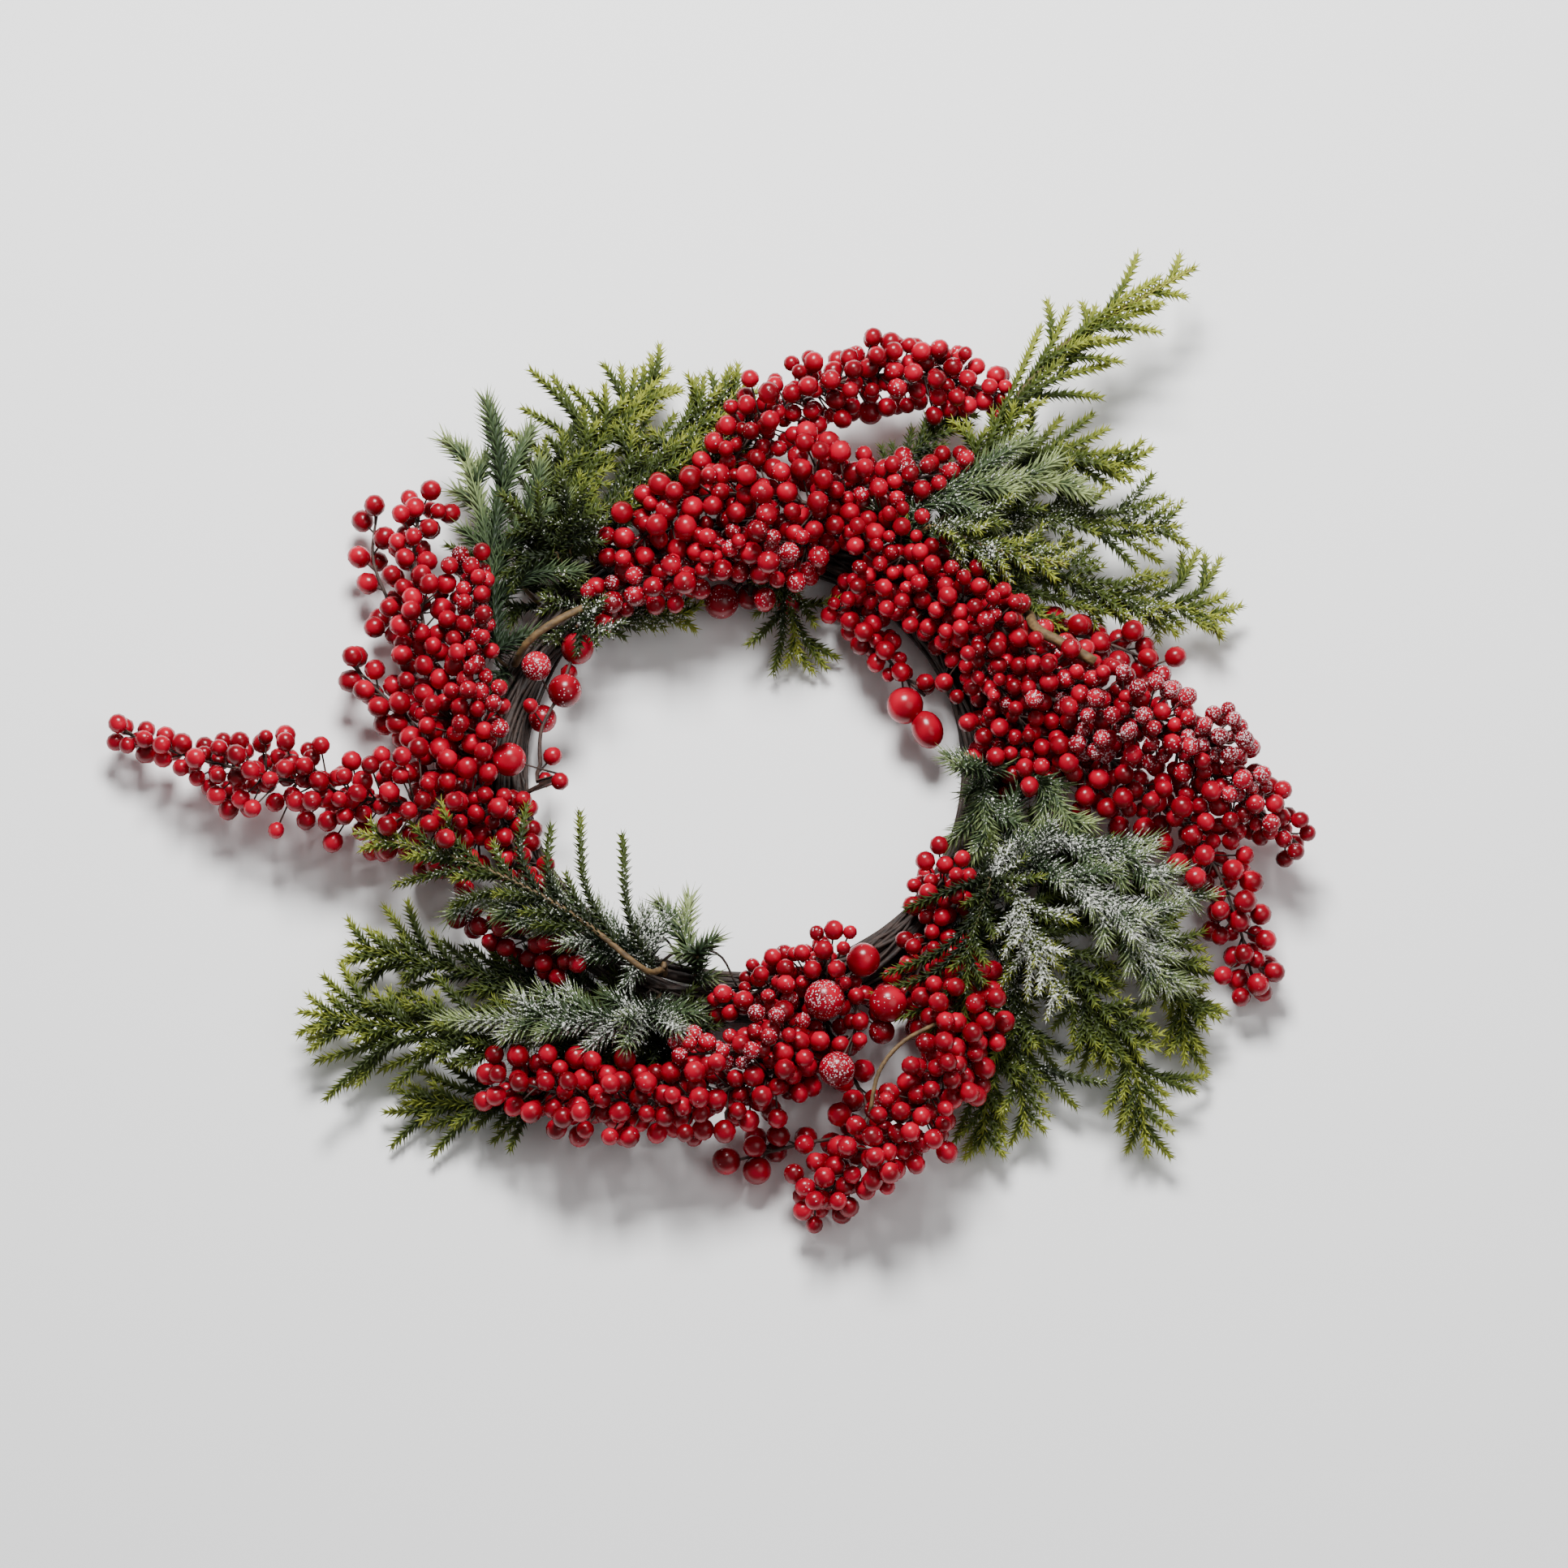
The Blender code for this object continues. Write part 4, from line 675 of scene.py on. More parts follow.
def settle(lines):
    """Lets the lines push each other apart, mostly up and down, clear of the ring and the surface."""
    heights = np.concatenate([np.full(len(line.points), line.points[:, 2].mean()) for line in lines])
    for number in range(SETTLE_ROUNDS):
        if number % PAIRS_EVERY == 0:
            first, second, reaches = close_pairs(lines)
            above = np.sign(heights[first] - heights[second]) * OVER_OR_UNDER
        points = np.vstack([line.points for line in lines])
        apart = points[first] - points[second]
        apart[:, 2] += above
        away = np.linalg.norm(apart, axis=1) + NO_LENGTH
        short = np.maximum(reaches[first] + reaches[second] - away, 0)
        push = apart * (short / away * SETTLE_SHARE)[:, None]
        moves = np.zeros_like(points)
        counts = np.ones(len(points))
        for side, sign in ((first, 1), (second, -1)):
            np.add.at(moves, side, push * sign)
            np.add.at(counts, side, short > 0)
        moves /= np.sqrt(counts)[:, None]
        moves[:, :2] *= SIDEWAYS_SHARE
        moves += ring_push(points, reaches)
        moves += (np.vstack([line.home for line in lines]) - points) * HOME_SHARE
        moves[:, 2] += np.maximum(reaches + GROUND_CLEARANCE - points[:, 2] - moves[:, 2], 0)
        start = 0
        for line in lines:
            end = start + len(line.points)
            shift_line(line, moves[start:end])
            start = end


def ring_push(points, reaches):
    """The way out of the ring for points that are too near it."""
    outward = points[:, :2].copy()
    across = np.linalg.norm(outward, axis=1)[:, None]
    outward /= across
    section = np.column_stack((across[:, 0] - RING_RADIUS, points[:, 2] - RING_CENTRE_HEIGHT))
    away = np.linalg.norm(section, axis=1)
    short = np.maximum(RING_THICKNESS / 2 + RING_LOBE_HEIGHT + reaches - away, 0)
    section *= (short / np.maximum(away, 1))[:, None]
    return np.column_stack((outward * section[:, :1], section[:, 1]))


def shift_line(line, moves):
    """Moves a line's points, evened out along it, while its start follows its seat or its stem."""
    for _ in range(2):
        padded = np.vstack((moves[:1], moves, moves[-1:]))
        moves = (padded[:-2] + 2 * padded[1:-1] + padded[2:]) / 4
    held = line.parent.move[line.index] if line.parent else 0
    line.move = (moves * line.freedom + held * (1 - line.freedom)).round(DECIMALS)
    line.points = line.points + line.move


def lay_lines(ring_tree):
    """Every stem and side shoot, settled clear of each other."""
    plans = [*BUNCHES, *SPRAYS]
    stems = []
    taken = np.empty((0, 3))
    for plan in plans:
        points = seated_line(ring_tree, plan.route, taken)
        taken = np.vstack((taken, points))
        if isinstance(plan, Bunch):
            stems.append(Line(plan.name, points, taper(points, *BERRY_STEM), BUNCH_MARGIN))
        else:
            stems.append(Line(plan.name, points, taper(points, *SPRAY_STEM), SHOOT_MARGIN))
    shoots = []
    for stem, plan in zip(stems, plans):
        if isinstance(plan, Spray):
            shoots += [shoot_line(stem, share, tip) for share, tip in plan.shoots]
    settle(stems + shoots)
    return {stem.owner: stem for stem in stems}, shoots


class Term:
    """A socket in a material, so that shader maths can be written as expressions."""

    def __init__(self, finish, socket):
        self.finish = finish
        self.socket = socket

    def __add__(self, other):
        return self.finish.maths("ADD", self, other)

    def __sub__(self, other):
        return self.finish.maths("SUBTRACT", self, other)

    def __rsub__(self, other):
        return self.finish.maths("SUBTRACT", other, self)

    def __mul__(self, other):
        return self.finish.maths("MULTIPLY", self, other)

    __radd__ = __add__
    __rmul__ = __mul__


class Finish:
    """One material, drawn up node by node."""

    def __init__(self, name):
        self.material = bpy.data.materials.new(name)
        self.material.use_nodes = True
        self.tree = self.material.node_tree
        self.shader = self.tree.nodes["Principled BSDF"]

    def node(self, kind, settings, inputs, output):
        """Adds a node with its settings and inputs, and gives the named output."""
        made = self.tree.nodes.new(kind)
        for key, value in settings.items():
            if key == "stops":
                while len(made.color_ramp.elements) < len(value):
                    made.color_ramp.elements.new(1)
                for stop, (place, colour) in zip(made.color_ramp.elements, value):
                    stop.position = place
                    stop.color = (*colour, 1)
            else:
                setattr(made, key, value)
        for key, value in inputs.items():
            self.join(value, next(slot for slot in made.inputs if slot.identifier == key))
        return Term(self, next(slot for slot in made.outputs if slot.identifier == output))

    def join(self, value, socket):
        if isinstance(value, Term):
            self.tree.links.new(value.socket, socket)
        else:
            socket.default_value = value

    def maths(self, operation, first, second):
        inputs = {"Value": first, "Value_001": second}
        return self.node("ShaderNodeMath", {"operation": operation}, inputs, "Value")

    def set(self, **inputs):
        for key, value in inputs.items():
            self.join(value, self.shader.inputs[key.replace("_", " ")])

    def places(self):
        return self.node("ShaderNodeTexCoord", {}, {}, "Object")

    def noise(self, scale, detail=2.0):
        inputs = {"Vector": self.places(), "Scale": scale, "Detail": detail}
        return self.node("ShaderNodeTexNoise", {}, inputs, "Fac")

    def grains(self, scale):
        """Near 1 in the middle of small scattered cells, and 0 at their rims."""
        inputs = {"Vector": self.places(), "Scale": scale}
        return 1 - self.node("ShaderNodeTexVoronoi", {}, inputs, "Distance")

    def between(self, value, low, high):
        inputs = {"Value": value, "From Min": low, "From Max": high}
        return self.node("ShaderNodeMapRange", {"clamp": True}, inputs, "Result")

    def kept(self, name):
        """The number that a piece's vertices carry under that name."""
        return self.node("ShaderNodeAttribute", {"attribute_name": name}, {}, "Fac")

    def ramp(self, value, *stops):
        return self.node("ShaderNodeValToRGB", {"stops": stops}, {"Fac": value}, "Color")

    def blend(self, share, first, second):
        colours = [value if isinstance(value, Term) else (*value, 1) for value in (first, second)]
        inputs = {"Factor_Float": share, "A_Color": colours[0], "B_Color": colours[1]}
        return self.node("ShaderNodeMix", {"data_type": "RGBA"}, inputs, "Result_Color")

    def bump(self, height, distance, strength=1.0):
        inputs = {"Height": height, "Distance": distance, "Strength": strength}
        return self.node("ShaderNodeBump", {}, inputs, "Normal")


def snow_mask(finish, grain_size, crust_size, crust_from):
    """Where snow crystals lie: scattered grains at first, then clumps of crust with more frost."""
    patches = (finish.noise(FROST_PATCHES) - 0.5) * PATCH_SHARE
    frost = finish.kept("frost") + patches * finish.kept("frost")
    layers = []
    for size, least in ((grain_size, 0.0), (crust_size, crust_from)):
        cells = {"Vector": finish.places(), "Scale": 1 / size}
        chance = finish.node("ShaderNodeTexVoronoi", {}, cells, "Color") + least
        grain = finish.between(finish.grains(1 / size), *GRAIN_EDGE)
        layers.append(grain * finish.between(frost - chance, *SNOW_EDGE))
    return finish.between(layers[0] + layers[1], 0.0, 1.0)


def needle_finish(name, greens):
    finish = Finish(name)
    # The kept number is the needles' age with painted shade near each shoot's core and painted light at
    # the needle tips.
    youth = finish.kept("youth") + (finish.noise(GREEN_PATCHES) - 0.5) * GREEN_LUCK
    green = finish.ramp(youth, *zip(GREEN_STOPS, greens))
    snow = snow_mask(finish, *NEEDLE_SNOW)
    white = finish.ramp(finish.noise(WHITE_GRIT), *zip(WHITE_STOPS, SNOW_WHITES))
    finish.set(Base_Color=finish.blend(snow, green, white),
               Roughness=snow * SNOW_ROUGHER + NEEDLE_ROUGHNESS,
               Specular_IOR_Level=NEEDLE_SHEEN, Normal=finish.bump(snow, SNOW_RELIEF))
    return finish.material


def berry_finish():
    finish = Finish("lacquered_berry_red")
    tone = finish.noise(RED_PATCHES, 1.0)
    red = finish.ramp(tone, *zip(RED_STOPS, BERRY_REDS))
    snow = snow_mask(finish, *BERRY_SNOW)
    white = finish.ramp(finish.noise(WHITE_GRIT), *zip(WHITE_STOPS, ROSY_WHITES))
    finish.set(Base_Color=finish.blend(snow, red, white),
               Roughness=snow * BERRY_SNOW_ROUGHER + BERRY_ROUGHNESS,
               Specular_IOR_Level=BERRY_SHEEN, Normal=finish.bump(snow, BERRY_SNOW_RELIEF))
    return finish.material


def bark_finish(name, browns, scale):
    finish = Finish(name)
    grain = finish.noise(scale, GRAIN_DETAIL)
    colour = finish.ramp(grain, *zip(BARK_STOPS, browns))
    finish.set(Base_Color=colour, Roughness=BARK_ROUGHNESS, Normal=finish.bump(grain, BARK_RELIEF))
    return finish.material


def sweep(line, radii, sides, spin=0.0):
    """A closed tube along a finely stepped line."""
    shape = bmesh.new()
    ahead = Vector(heading(line, 0))
    turn = ahead.to_track_quat("Z", "Y")
    place = Matrix.LocRotScale(Vector(line[0]), turn, Vector((radii[0],) * 3))
    bmesh.ops.create_circle(shape, cap_ends=True, segments=sides, radius=1, matrix=place)
    shape.faces.ensure_lookup_table()
    end = shape.faces[0]
    for index in range(1, len(line)):
        following = Vector(heading(line, index))
        turn = ahead.rotation_difference(following) @ turn @ Quaternion((0, 0, 1), spin)
        ahead = following
        moved = Matrix.LocRotScale(Vector(line[index]), turn, Vector((radii[index],) * 3))
        end = bmesh.ops.extrude_discrete_faces(shape, faces=[end])["faces"][0]
        bmesh.ops.transform(shape, matrix=moved @ place.inverted(), verts=end.verts[:])
        place = moved
    bmesh.ops.holes_fill(shape, edges=shape.edges[:], sides=sides)
    bmesh.ops.recalc_face_normals(shape, faces=shape.faces[:])
    return shape


class Piece:
    """A finished piece as it grows, with its two finishes and what its vertices carry."""

    def __init__(self, node):
        self.node = node
        self.whole = bmesh.new()

    def add(self, shape, slot, youth=0.0, frost=0.0):
        """Joins a shape; youth with its painted shade and light, and frost, are one number, or one for
        each of its vertices.
        """
        for name, value in (("youth", youth), ("frost", frost)):
            layer = shape.verts.layers.float.new(name)
            values = np.broadcast_to(value, len(shape.verts))
            for vert, number in zip(shape.verts, values):
                vert[layer] = number
        for face in shape.faces:
            face.material_index = slot
            face.smooth = True
        mesh = bpy.data.meshes.new("part")
        shape.to_mesh(mesh)
        shape.free()
        self.whole.from_mesh(mesh)
        bpy.data.meshes.remove(mesh)

    def close(self, name, finishes, shift):
        mesh = bpy.data.meshes.new(name)
        self.whole.to_mesh(mesh)
        self.whole.free()
        mesh.transform(Matrix.Translation(shift) @ Matrix.Scale(MILLIMETRE, 4))
        for finish in finishes:
            mesh.materials.append(finish)
        item = bpy.data.objects.new(name, mesh)
        bpy.context.scene.collection.objects.link(item)
        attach(item, "root")
        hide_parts(self.node)


def patch(place, size):
    """A soft random number from 0 to 1 that changes over about that many millimetres."""
    return min(max(0.5 + PATCH_CONTRAST * noise.noise(Vector(place) / size), 0), 1)


def twig_line(draw, reach, waver, span, stray):
    """A twig wound along the ring, with an end that can stray off it."""
    start = draw.uniform(0, 360)
    angles = np.radians(np.arange(start, start + span, math.degrees(TWIG_STEP / RING_RADIUS)))
    winding = draw.uniform(*TWIG_WINDINGS) * draw.choice((1, 1, -1))
    around = draw.uniform(0, 2 * math.pi) + winding * (angles - angles[0])
    reaches = reach + waver * np.sin(angles * draw.uniform(*TWIG_WAVES) + draw.uniform(*WAVE_STARTS))
    if stray:
        loose = np.clip((angles - angles[-1]) * RING_RADIUS / stray + 1, 0, 1)
        reaches = reaches + stray * STRAY_REACH * loose ** 2
        around = around + (STRAY_WAY - around[-1]) * loose ** 0.5 * (loose > 0)
    across = RING_RADIUS + reaches * np.cos(around)
    return np.column_stack((across * np.cos(angles), across * np.sin(angles),
                            RING_CENTRE_HEIGHT + reaches * np.sin(around)))


def wind_ring(piece):
    draw = random.Random(TWIG_SEED)
    for count, reach, waver, radii in TWIG_LAYERS:
        for number in range(count):
            strays = radii[1] < STRAY_THINNER_THAN and number < STRAY_ENDS
            stray = draw.uniform(*STRAY_LENGTHS) if strays else 0
            line = twig_line(draw, reach, waver, draw.uniform(*TWIG_SPANS), stray)
            radius = draw.uniform(*radii)
            line[:, 2] = np.maximum(line[:, 2], radius + TWIG_GROUND)
            ends = np.minimum(np.arange(len(line)), np.arange(len(line))[::-1])
            sizes = radius * (TWIG_TIP + TWIG_SWELL * np.clip(ends / TIP_POINTS, 0, 1))
            piece.add(sweep(line, sizes, TWIG_SIDES), 0)
    for route in RING_CURLS:
        line = smooth_line(route, LINE_STEP)
        piece.add(sweep(line, np.linspace(*CURL_RADII, len(line)), TWIG_SIDES), 0)


class Berries:
    """Where the berries sit, so that they touch without cutting into each other or the stems."""

    def __init__(self, lines):
        self.centres = np.empty((0, 3))
        self.radii = np.empty(0)
        self.stems = np.vstack([line.points for line in lines])
        self.widths = np.concatenate([line.radii for line in lines]) * WIRE_SHARE

    def is_free(self, centre, radius):
        if not radius + BERRY_GROUND < centre[2] < HIGHEST - radius:
            return False
        apart = np.linalg.norm(self.centres - centre, axis=1)
        if (apart < self.radii + radius - TOUCH).any():
            return False
        offsets = centre - self.centres[self.radii > LARGE]
        ahead = offsets @ np.array((0, -math.cos(CAMERA_HEIGHT), math.sin(CAMERA_HEIGHT)))
        aside = np.sqrt(np.maximum((offsets ** 2).sum(axis=1) - ahead ** 2, 0))
        if ((ahead > 0) & (aside < SEEN_SHARE * self.radii[self.radii > LARGE])).any():
            return False
        away = np.linalg.norm(self.stems - centre, axis=1)
        if (away < self.widths + radius - TOUCH).any():
            return False
        section = math.hypot(math.hypot(*centre[:2]) - RING_RADIUS, centre[2] - RING_CENTRE_HEIGHT)
        return section > RING_THICKNESS / 2 + radius - TOUCH

    def take(self, centre, radius):
        self.centres = np.vstack((self.centres, centre))
        self.radii = np.append(self.radii, radius)

    def near(self, points):
        """Which points lie inside a berry."""
        low, high = points.min(axis=0) - LARGEST, points.max(axis=0) + LARGEST
        some = ((self.centres > low) & (self.centres < high)).all(axis=1)
        if not some.any():
            return np.zeros(len(points), bool)
        apart = np.linalg.norm(points[:, None] - self.centres[None, some], axis=2)
        return (apart < self.radii[None, some] + BERRY_CLEAR / 2).any(axis=1)


def place_berries(berries, bunch, line, draw):
    """Fills a sleeve round the stem with berries, each as near the stem as it finds room."""
    along = distances(line.points)
    placed = []
    count = round(bunch.count * COUNT_SHARE)
    for number in range(count):
        low, high = bunch.radii
        radius = (low + (high - low) * draw.random() ** SIZE_BIAS) * BERRY_SWELL
        share = FIRST_BERRY + (1 - FIRST_BERRY) * (number * GOLDEN_SHARE % 1)
        fullness = float(np.interp(share, *OWN_FULLNESS.get(bunch.name, FULLNESS)))
        best = None
        found = 0
        for _ in range(TRIES):
            stop = (share + draw.uniform(-SHARE_LUCK, SHARE_LUCK)) * along[-1]
            stop = min(max(stop, 0), along[-1] + radius / 2)
            index = int(np.searchsorted(along, min(stop, along[-1] - BEFORE_END)))
            ahead = Vector(heading(line.points, index))
            side = ahead.orthogonal().normalized()
            around = Quaternion(ahead, draw.uniform(0, 2 * math.pi))
            lump = LEAST_LUMP + patch(line.points[index], LUMP)
            width = bunch.spread * SPREAD_SHARE * fullness * lump
            reach = radius + line.radii[index] * WIRE_SHARE + width * draw.random() ** NEAR_STEM
            centre = np.array(Vector(line.points[index]) + around @ side * reach)
            if berries.is_free(centre, radius):
                found += 1
                if best is None or reach < best[0]:
                    best = (reach, centre, index)
                if found == CHOICES:
                    break
        if best:
            berries.take(best[1], radius)
            luck = LUMP_LUCK * patch(best[1], FROST_LUMP) + OWN_LUCK * draw.random()
            frost = max((bunch.frost - luck) * FROST_CONTRAST + FROST_MIDDLE, LEAST_FROST)
            frost = min(frost, 1) * (FROST_COVER + FROST_COVER_GAIN * bunch.frost)
            placed.append((best[1], radius, best[2], frost, draw.uniform(*STRETCHES)))
    return placed


def place_large(berries, bunch, line):
    placed = []
    for centre, radius, frost, stretch in bunch.large:
        centre = np.array(centre, float)
        berries.take(centre, radius)
        away = np.linalg.norm(line.points - centre, axis=1)
        placed.append((centre, radius, int(away.argmin()), frost, stretch))
    return placed


def draw_berries(piece, line, placed):
    """The berries of a bunch, each on a thin stalk that leaves the stem a little before it."""
    for centre, radius, index, own, stretch in placed:
        shape = bmesh.new()
        back = round(radius * STALK_BACK / LINE_STEP / STALK_BACK_RADIUS)
        root = line.points[max(index - back, 0)]
        turn = (Vector(root) - Vector(centre)).to_track_quat("Z", "Y")
        place = Matrix.LocRotScale(Vector(centre), turn, Vector((1, 1, stretch)))
        large = radius > LARGE
        bmesh.ops.create_uvsphere(shape, u_segments=BERRY_SEGMENTS * (1 + large),
                                  v_segments=BERRY_BANDS * (1 + large), radius=radius, matrix=place)
        frost = [own * (FROST_AT_SIDES + FROST_ON_TOP * (vert.co.z - centre[2]) / radius)
                 for vert in shape.verts]
        piece.add(shape, 0, frost=frost)
        middle = (root + centre) / 2 - (0, 0, STALK_SAG)
        stalk = np.array((root, middle, centre))
        piece.add(sweep(stalk, (STALK * STALK_FOOT, STALK, STALK), STALK_SIDES), 1)


class Shoots:
    """The middle lines of all shoots so far, so that a new one grows where there is room."""

    def __init__(self, lines):
        self.points = np.vstack([line.points for line in lines])

    def has_room(self, line, gap):
        """Whether the shoot's outer part keeps that far from the others."""
        outer = line[min(round(gap * ROOT_SHARE / SHOOT_STEP), len(line) - 1):]
        low, high = outer.min(axis=0) - gap, outer.max(axis=0) + gap
        some = self.points[((self.points > low) & (self.points < high)).all(axis=1)]
        return not len(some) or np.linalg.norm(outer[:, None] - some[None], axis=2).min() > gap

    def take(self, line):
        self.points = np.vstack((self.points, line))


def unblocked(shoot, berries):
    """The shoot, cut short where it meets the ring or a berry."""
    across = np.hypot(shoot[:, 0], shoot[:, 1])
    section = np.hypot(across - RING_RADIUS, shoot[:, 2] - RING_CENTRE_HEIGHT)
    blocked = (section < RING_THICKNESS / 2 + SHOOT_RING_GAP) | berries.near(shoot)
    blocked[:ROOT_POINTS] = False
    keep = int(blocked.argmax()) if blocked.any() else len(shoot)
    return shoot[:keep]


def side_shoot(line, share, side, length, draw, berries, slants, lifts):
    """One more shoot off a line, to the left or the right."""
    index = round(share * (len(line) - 1))
    forward = Vector(heading(line, index))
    across = forward.cross(Vector((0, 0, 1))).normalized() * side
    slant = draw.uniform(*slants)
    way = forward * math.cos(slant) + across * math.sin(slant) + Vector((0, 0, draw.uniform(*lifts)))
    way.normalize()
    base = Vector(line[index])
    tip = base + way * length
    bend = base + way * length * 0.5 + forward * length * SHOOT_BEND
    tip.z = min(max(tip.z, TIP_ROOM), HIGHEST - TIP_ROOM)
    return unblocked(smooth_line([base, bend, tip], SHOOT_STEP), berries)


def grow(crowd, plan, line, share, side, length, draw, berries,
         slants=SIDE_SLANTS, lifts=SIDE_LIFTS):
    """Tries a side shoot a few times, each a little shorter, until one finds room."""
    room = ROOM[plan.needles.name] * THICK_ROOM.get(plan.name, 1)
    for attempt in range(GROW_TRIES):
        tried = length * (1 - SHORTER_EACH_TRY * attempt)
        shoot = side_shoot(line, share, side, tried, draw, berries, slants, lifts)
        if len(shoot) * SHOOT_STEP >= SHORTEST_SHOOT and crowd.has_room(shoot, room):
            crowd.take(shoot)
            return [shoot]
    return []


def extra_shoots(plan, stem, shoots, draw, berries, crowd):
    """All side shoots of a stem, each with its share along it.

    Fillers come first, then shoots left and right in turn, a collar over the ring, and twins on
    the longest.
    """
    along = distances(stem.points)[-1]
    bare = BARE_STEMS.get(plan.name, 0)
    found = [(shoot.points, shoot.index / len(stem.points)) for shoot in shoots]
    for share, tip in FILL_SHOOTS.get(plan.name, ()):
        index = round(share * (len(stem.points) - 1))
        base = Vector(stem.points[index])
        bend = (base + Vector(tip)) / 2 + Vector(heading(stem.points, index)) * FILL_BEND
        shoot = unblocked(smooth_line([base, bend, Vector(tip)], SHOOT_STEP), berries)
        if len(shoot) * SHOOT_STEP >= SHORTEST_SHOOT:
            crowd.take(shoot)
            found.append((shoot, share))
    shares = np.linspace(FIRST_SHOOT, LAST_SHOOT, round(along / plan.step))
    for number, share in enumerate(shares):
        if share >= bare:
            length = plan.length * (SIDE_LENGTH - SIDE_LENGTH_LOSS * share) * draw.uniform(*LENGTH_LUCK)
            side = 1 if number % 2 else -1
            grown = grow(crowd, plan, stem.points, share, side, length, draw, berries)
            found += [(line, share) for line in grown]
    if not bare:
        for share in COLLAR_SHARES:
            for side in (-1, 1):
                grown = grow(crowd, plan, stem.points, share, side, plan.length, draw, berries,
                             COLLAR_SLANTS, COLLAR_LIFTS)
                found += [(line, 0) for line in grown]
    for line, share in list(found):
        length = distances(line)[-1]
        if length > TWIN_LEAST[plan.needles.name] and plan.name not in SINGLE_FINGERS:
            for side, place in zip(TWIN_SIDES, TWIN_SHARES):
                grown = grow(crowd, plan, line, place, side, length * TWIN_LENGTH, draw, berries)
                found += [(twin, share) for twin in grown]
    return found


def fine_needles(line, needles, sides, draw, berries):
    """A core with a needle drawn out of each side of each of its short sections."""
    points = even_steps(line, needles.pitch)
    radii = np.linspace(needles.core, needles.core * CORE_TAPER, len(points))
    shape = sweep(points, radii, sides, math.pi / sides)
    quads = [face for face in shape.faces if len(face.verts) == 4]
    made = bmesh.ops.extrude_discrete_faces(shape, faces=quads)["faces"]
    feet = np.array([face.calc_center_median()[:] for face in made])
    nearest = np.linalg.norm(feet[:, None] - points[None], axis=2).argmin(axis=1)
    forward = np.gradient(points, axis=0)
    forward /= np.linalg.norm(forward, axis=1)[:, None]
    forward = forward[nearest]
    outward = feet - points[nearest]
    outward -= forward * (outward * forward).sum(axis=1)[:, None]
    outward /= np.linalg.norm(outward, axis=1)[:, None] + NO_LENGTH
    share = nearest / (len(points) - 1)
    left = (1 - share) * distances(points)[-1]
    size = 1 - TIP_SHRINK * np.clip(1 - left / (needles.reach * SHRINK_REACH), 0, 1)
    lean = 1 + TIP_LEAN * np.clip(1 - left / (needles.reach * LEAN_REACH), 0, 1)
    rough = np.array([[draw.uniform(-1, 1) for _ in range(3)] for _ in made])
    way = outward * needles.reach + forward * needles.sweep * lean[:, None]
    way += rough * JITTER * needles.reach
    way *= size[:, None]
    tips = feet + way
    tips[:, 2] = np.clip(tips[:, 2], NEEDLE_GROUND, HIGHEST)
    blocked = berries.near(tips) | berries.near(feet + way * MID_NEEDLE)
    tips[blocked] = feet[blocked] + way[blocked] * BLOCKED_NEEDLE
    waists = feet + (tips - feet) * WAIST_PLACE
    for face, foot, waist in zip(made, feet, waists):
        for vert in face.verts:
            vert.co = Vector(waist) + (vert.co - Vector(foot)) * needles.waist
    apexes = bmesh.ops.poke(shape, faces=made)["verts"]
    places = np.array([apex.co[:] for apex in apexes])
    match = np.linalg.norm(places[:, None] - waists[None], axis=2).argmin(axis=1)
    for apex, index in zip(apexes, match):
        apex.co = tips[index]
    return shape, points


def dress(piece, shape, points, plan, age, whole):
    """Adds a needled shoot, with its colour getting fresher to the tip, painted shade towards its core
    and painted light on its needle tips, and its snow in patches.
    """
    places = np.array([vert.co[:] for vert in shape.verts])
    away = np.linalg.norm(places[:, None] - points[None], axis=2)
    nearest = away.argmin(axis=1)
    share = nearest / (len(points) - 1)
    out = np.clip(away.min(axis=1) / plan.needles.reach, 0, 1)
    # Age along the shoot, plus painted shade at each needle's foot by the core and painted light out at
    # its tip.
    youth = plan.tone + age + (whole - age) * share ** AGE_CURVE + NEEDLE_TIP_LIGHT * out - NEEDLE_FOOT_SHADE
    patches = np.array([patch(place, SNOW_PATCH) for place in places])
    upper = np.clip((places[:, 2] - points[nearest, 2]) / plan.needles.reach, -1, 1)
    snow = SNOW_EVEN + SNOW_PATCHY * patches + SNOW_ABOVE * upper - SNOW_OFF_TIPS * out
    piece.add(shape, 0, youth, plan.frost * snow)


def sprays_and_shoots(stems, shoots, twigs, berries, finishes, shift):
    crowd = Shoots([stems[plan.name] for plan in SPRAYS] + shoots)
    for plan in SPRAYS:
        draw = random.Random(plan.name)
        stem = stems[plan.name]
        piece = Piece(plan.name)
        bare = plan.name in BARE_STEMS
        piece.add(sweep(stem.points, stem.radii * (1 if bare else HIDDEN_STEM), STEM_SIDES), 1)
        for twig in twigs:
            if twig.owner == plan.name:
                piece.add(sweep(twig.points, twig.radii, STEM_SIDES), 1)
        sides = CORE_SIDES[plan.needles.name]
        first = round(BARE_STEMS.get(plan.name, STEM_NEEDLES_START) * (len(stem.points) - 1))
        shape, points = fine_needles(stem.points[first:], plan.needles, sides, draw, berries)
        dress(piece, shape, points, plan, *STEM_AGES)
        own = [shoot for shoot in shoots if shoot.owner == plan.name]
        for line, share in extra_shoots(plan, stem, own, draw, berries, crowd):
            first = min(round(NEEDLES_START * (len(line) - 1)), len(line) - LEAST_POINTS)
            shape, points = fine_needles(line[first:], plan.needles, sides, draw, berries)
            luck = draw.uniform(-AGE_LUCK, AGE_LUCK)
            age = luck + ROOT_AGE + ROOT_AGE_GAIN * share
            dress(piece, shape, points, plan, age, luck + TIP_AGE + TIP_AGE_GAIN * share)
        piece.close(plan.name + "_needles", (finishes[plan.needles.name], finishes["stem"]), shift)


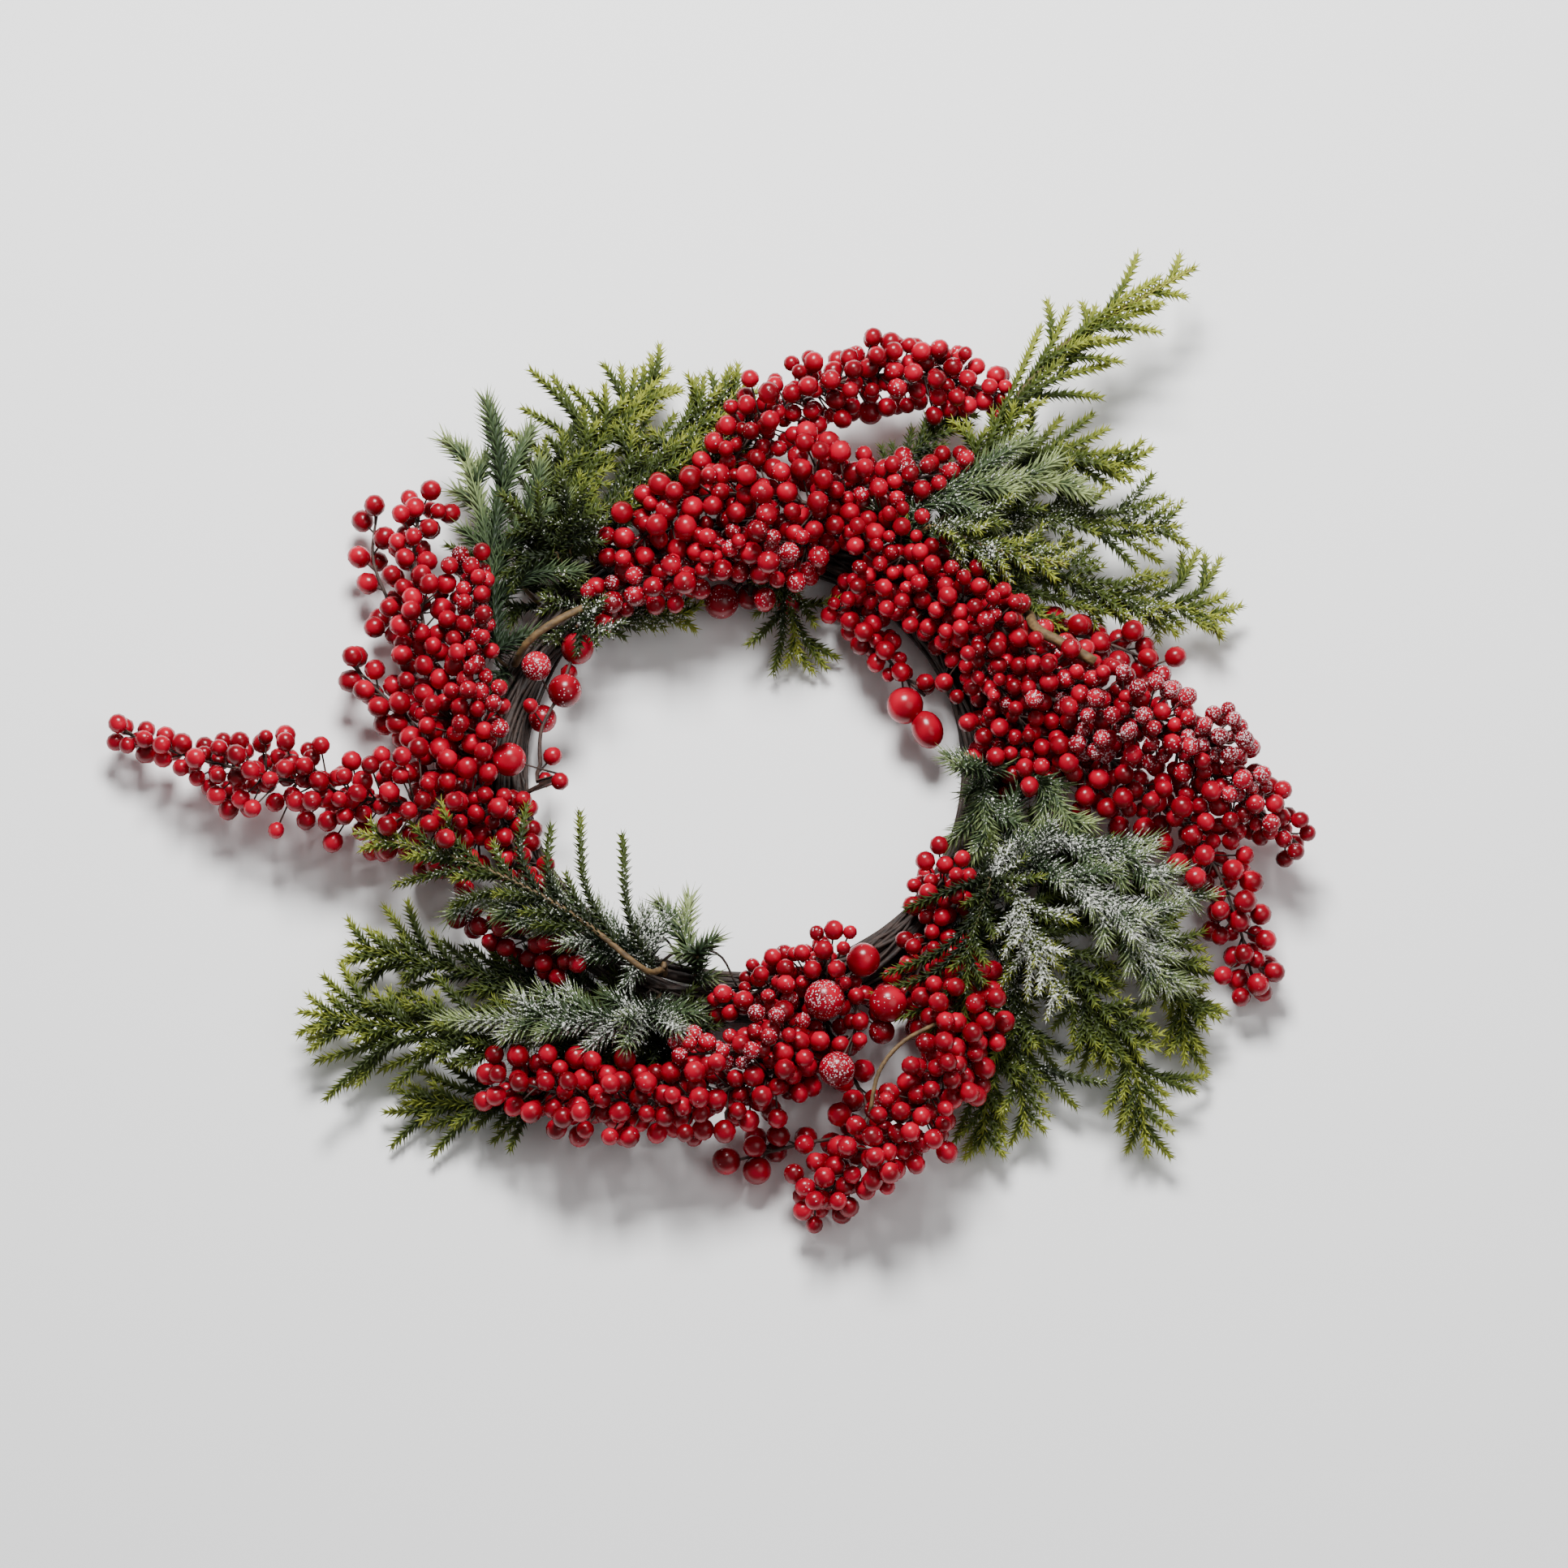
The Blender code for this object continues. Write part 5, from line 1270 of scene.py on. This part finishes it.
def studio(middle):
    """The floor, the lights and the camera."""
    world = bpy.data.worlds.new("studio")
    world.use_nodes = True
    world.node_tree.nodes["Background"].inputs["Color"].default_value = (1, 1, 1, 1)
    world.node_tree.nodes["Background"].inputs["Strength"].default_value = WORLD_LIGHT
    bpy.context.scene.world = world
    finish = Finish("pale_floor")
    finish.set(Base_Color=FLOOR_COLOUR, Roughness=FLOOR_ROUGHNESS)
    shape = bmesh.new()
    bmesh.ops.create_grid(shape, size=FLOOR_SIZE)
    mesh = bpy.data.meshes.new("floor")
    shape.to_mesh(mesh)
    shape.free()
    mesh.transform(Matrix.Translation((0, 0, -FLOOR_DROP)))
    mesh.materials.append(finish.material)
    floor = bpy.data.objects.new("floor", mesh)
    bpy.context.scene.collection.objects.link(floor)
    for name, place, size, power in LIGHTS:
        light = bpy.data.lights.new(name, "AREA")
        light.size = size
        light.energy = power
        item = bpy.data.objects.new(name, light)
        item.location = middle + Vector(place)
        item.rotation_euler = Vector(place).to_track_quat("Z", "Y").to_euler()
        bpy.context.scene.collection.objects.link(item)
    camera = bpy.data.objects.new("camera", bpy.data.cameras.new("camera"))
    camera.data.lens = LENS
    camera.data.sensor_width = SENSOR_WIDTH
    back = Vector((0, -math.cos(CAMERA_HEIGHT), math.sin(CAMERA_HEIGHT)))
    camera.location = Vector((middle.x, middle.y, 0)) + Vector(CAMERA_TARGET) + back * CAMERA_DISTANCE
    camera.rotation_euler = back.to_track_quat("Z", "Y").to_euler()
    bpy.context.scene.collection.objects.link(camera)
    bpy.context.scene.camera = camera


def build():
    ring = ring_shape()
    corners = np.array([vert.co[:] for vert in ring.verts])
    own_middle = Vector((corners.min(axis=0) + corners.max(axis=0)) / 2) * MILLIMETRE
    low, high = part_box("twig_ring")
    shift = (low + high) / 2 - own_middle
    shift.z = 0
    stems, shoots = lay_lines(BVHTree.FromBMesh(ring))
    ring.free()

    finishes = {
        "short": needle_finish("pine_needles", PINE_GREENS),
        "long": needle_finish("fir_needles", FIR_GREENS),
        "stem": bark_finish("spray_stem", STEM_BROWNS, STEM_GRAIN),
        "wire": bark_finish("berry_wire", WIRE_BROWNS, STEM_GRAIN),
        "twig": bark_finish("vine_twig", TWIG_BROWNS, TWIG_GRAIN),
        "berry": berry_finish(),
    }
    piece = Piece("twig_ring")
    wind_ring(piece)
    piece.close("wound_twigs", (finishes["twig"],), shift)

    twigs = []
    for owner, radius, route in BARE_TWIGS:
        line = smooth_line(route, LINE_STEP)
        twigs.append(Line(owner, line, np.full(len(line), radius), 0))
    berries = Berries([*stems.values(), *shoots, *twigs])
    placed = {bunch.name: place_large(berries, bunch, stems[bunch.name]) for bunch in BUNCHES}
    for bunch in BUNCHES:
        draw = random.Random(bunch.name)
        placed[bunch.name] += place_berries(berries, bunch, stems[bunch.name], draw)
    for bunch in BUNCHES:
        line = stems[bunch.name]
        piece = Piece(bunch.name)
        piece.add(sweep(line.points, line.radii * WIRE_SHARE, STEM_SIDES), 1)
        draw_berries(piece, line, placed[bunch.name])
        piece.close(bunch.name + "_full", (finishes["berry"], finishes["wire"]), shift)
    sprays_and_shoots(stems, shoots, twigs, berries, finishes, shift)
    studio(shift)


build()
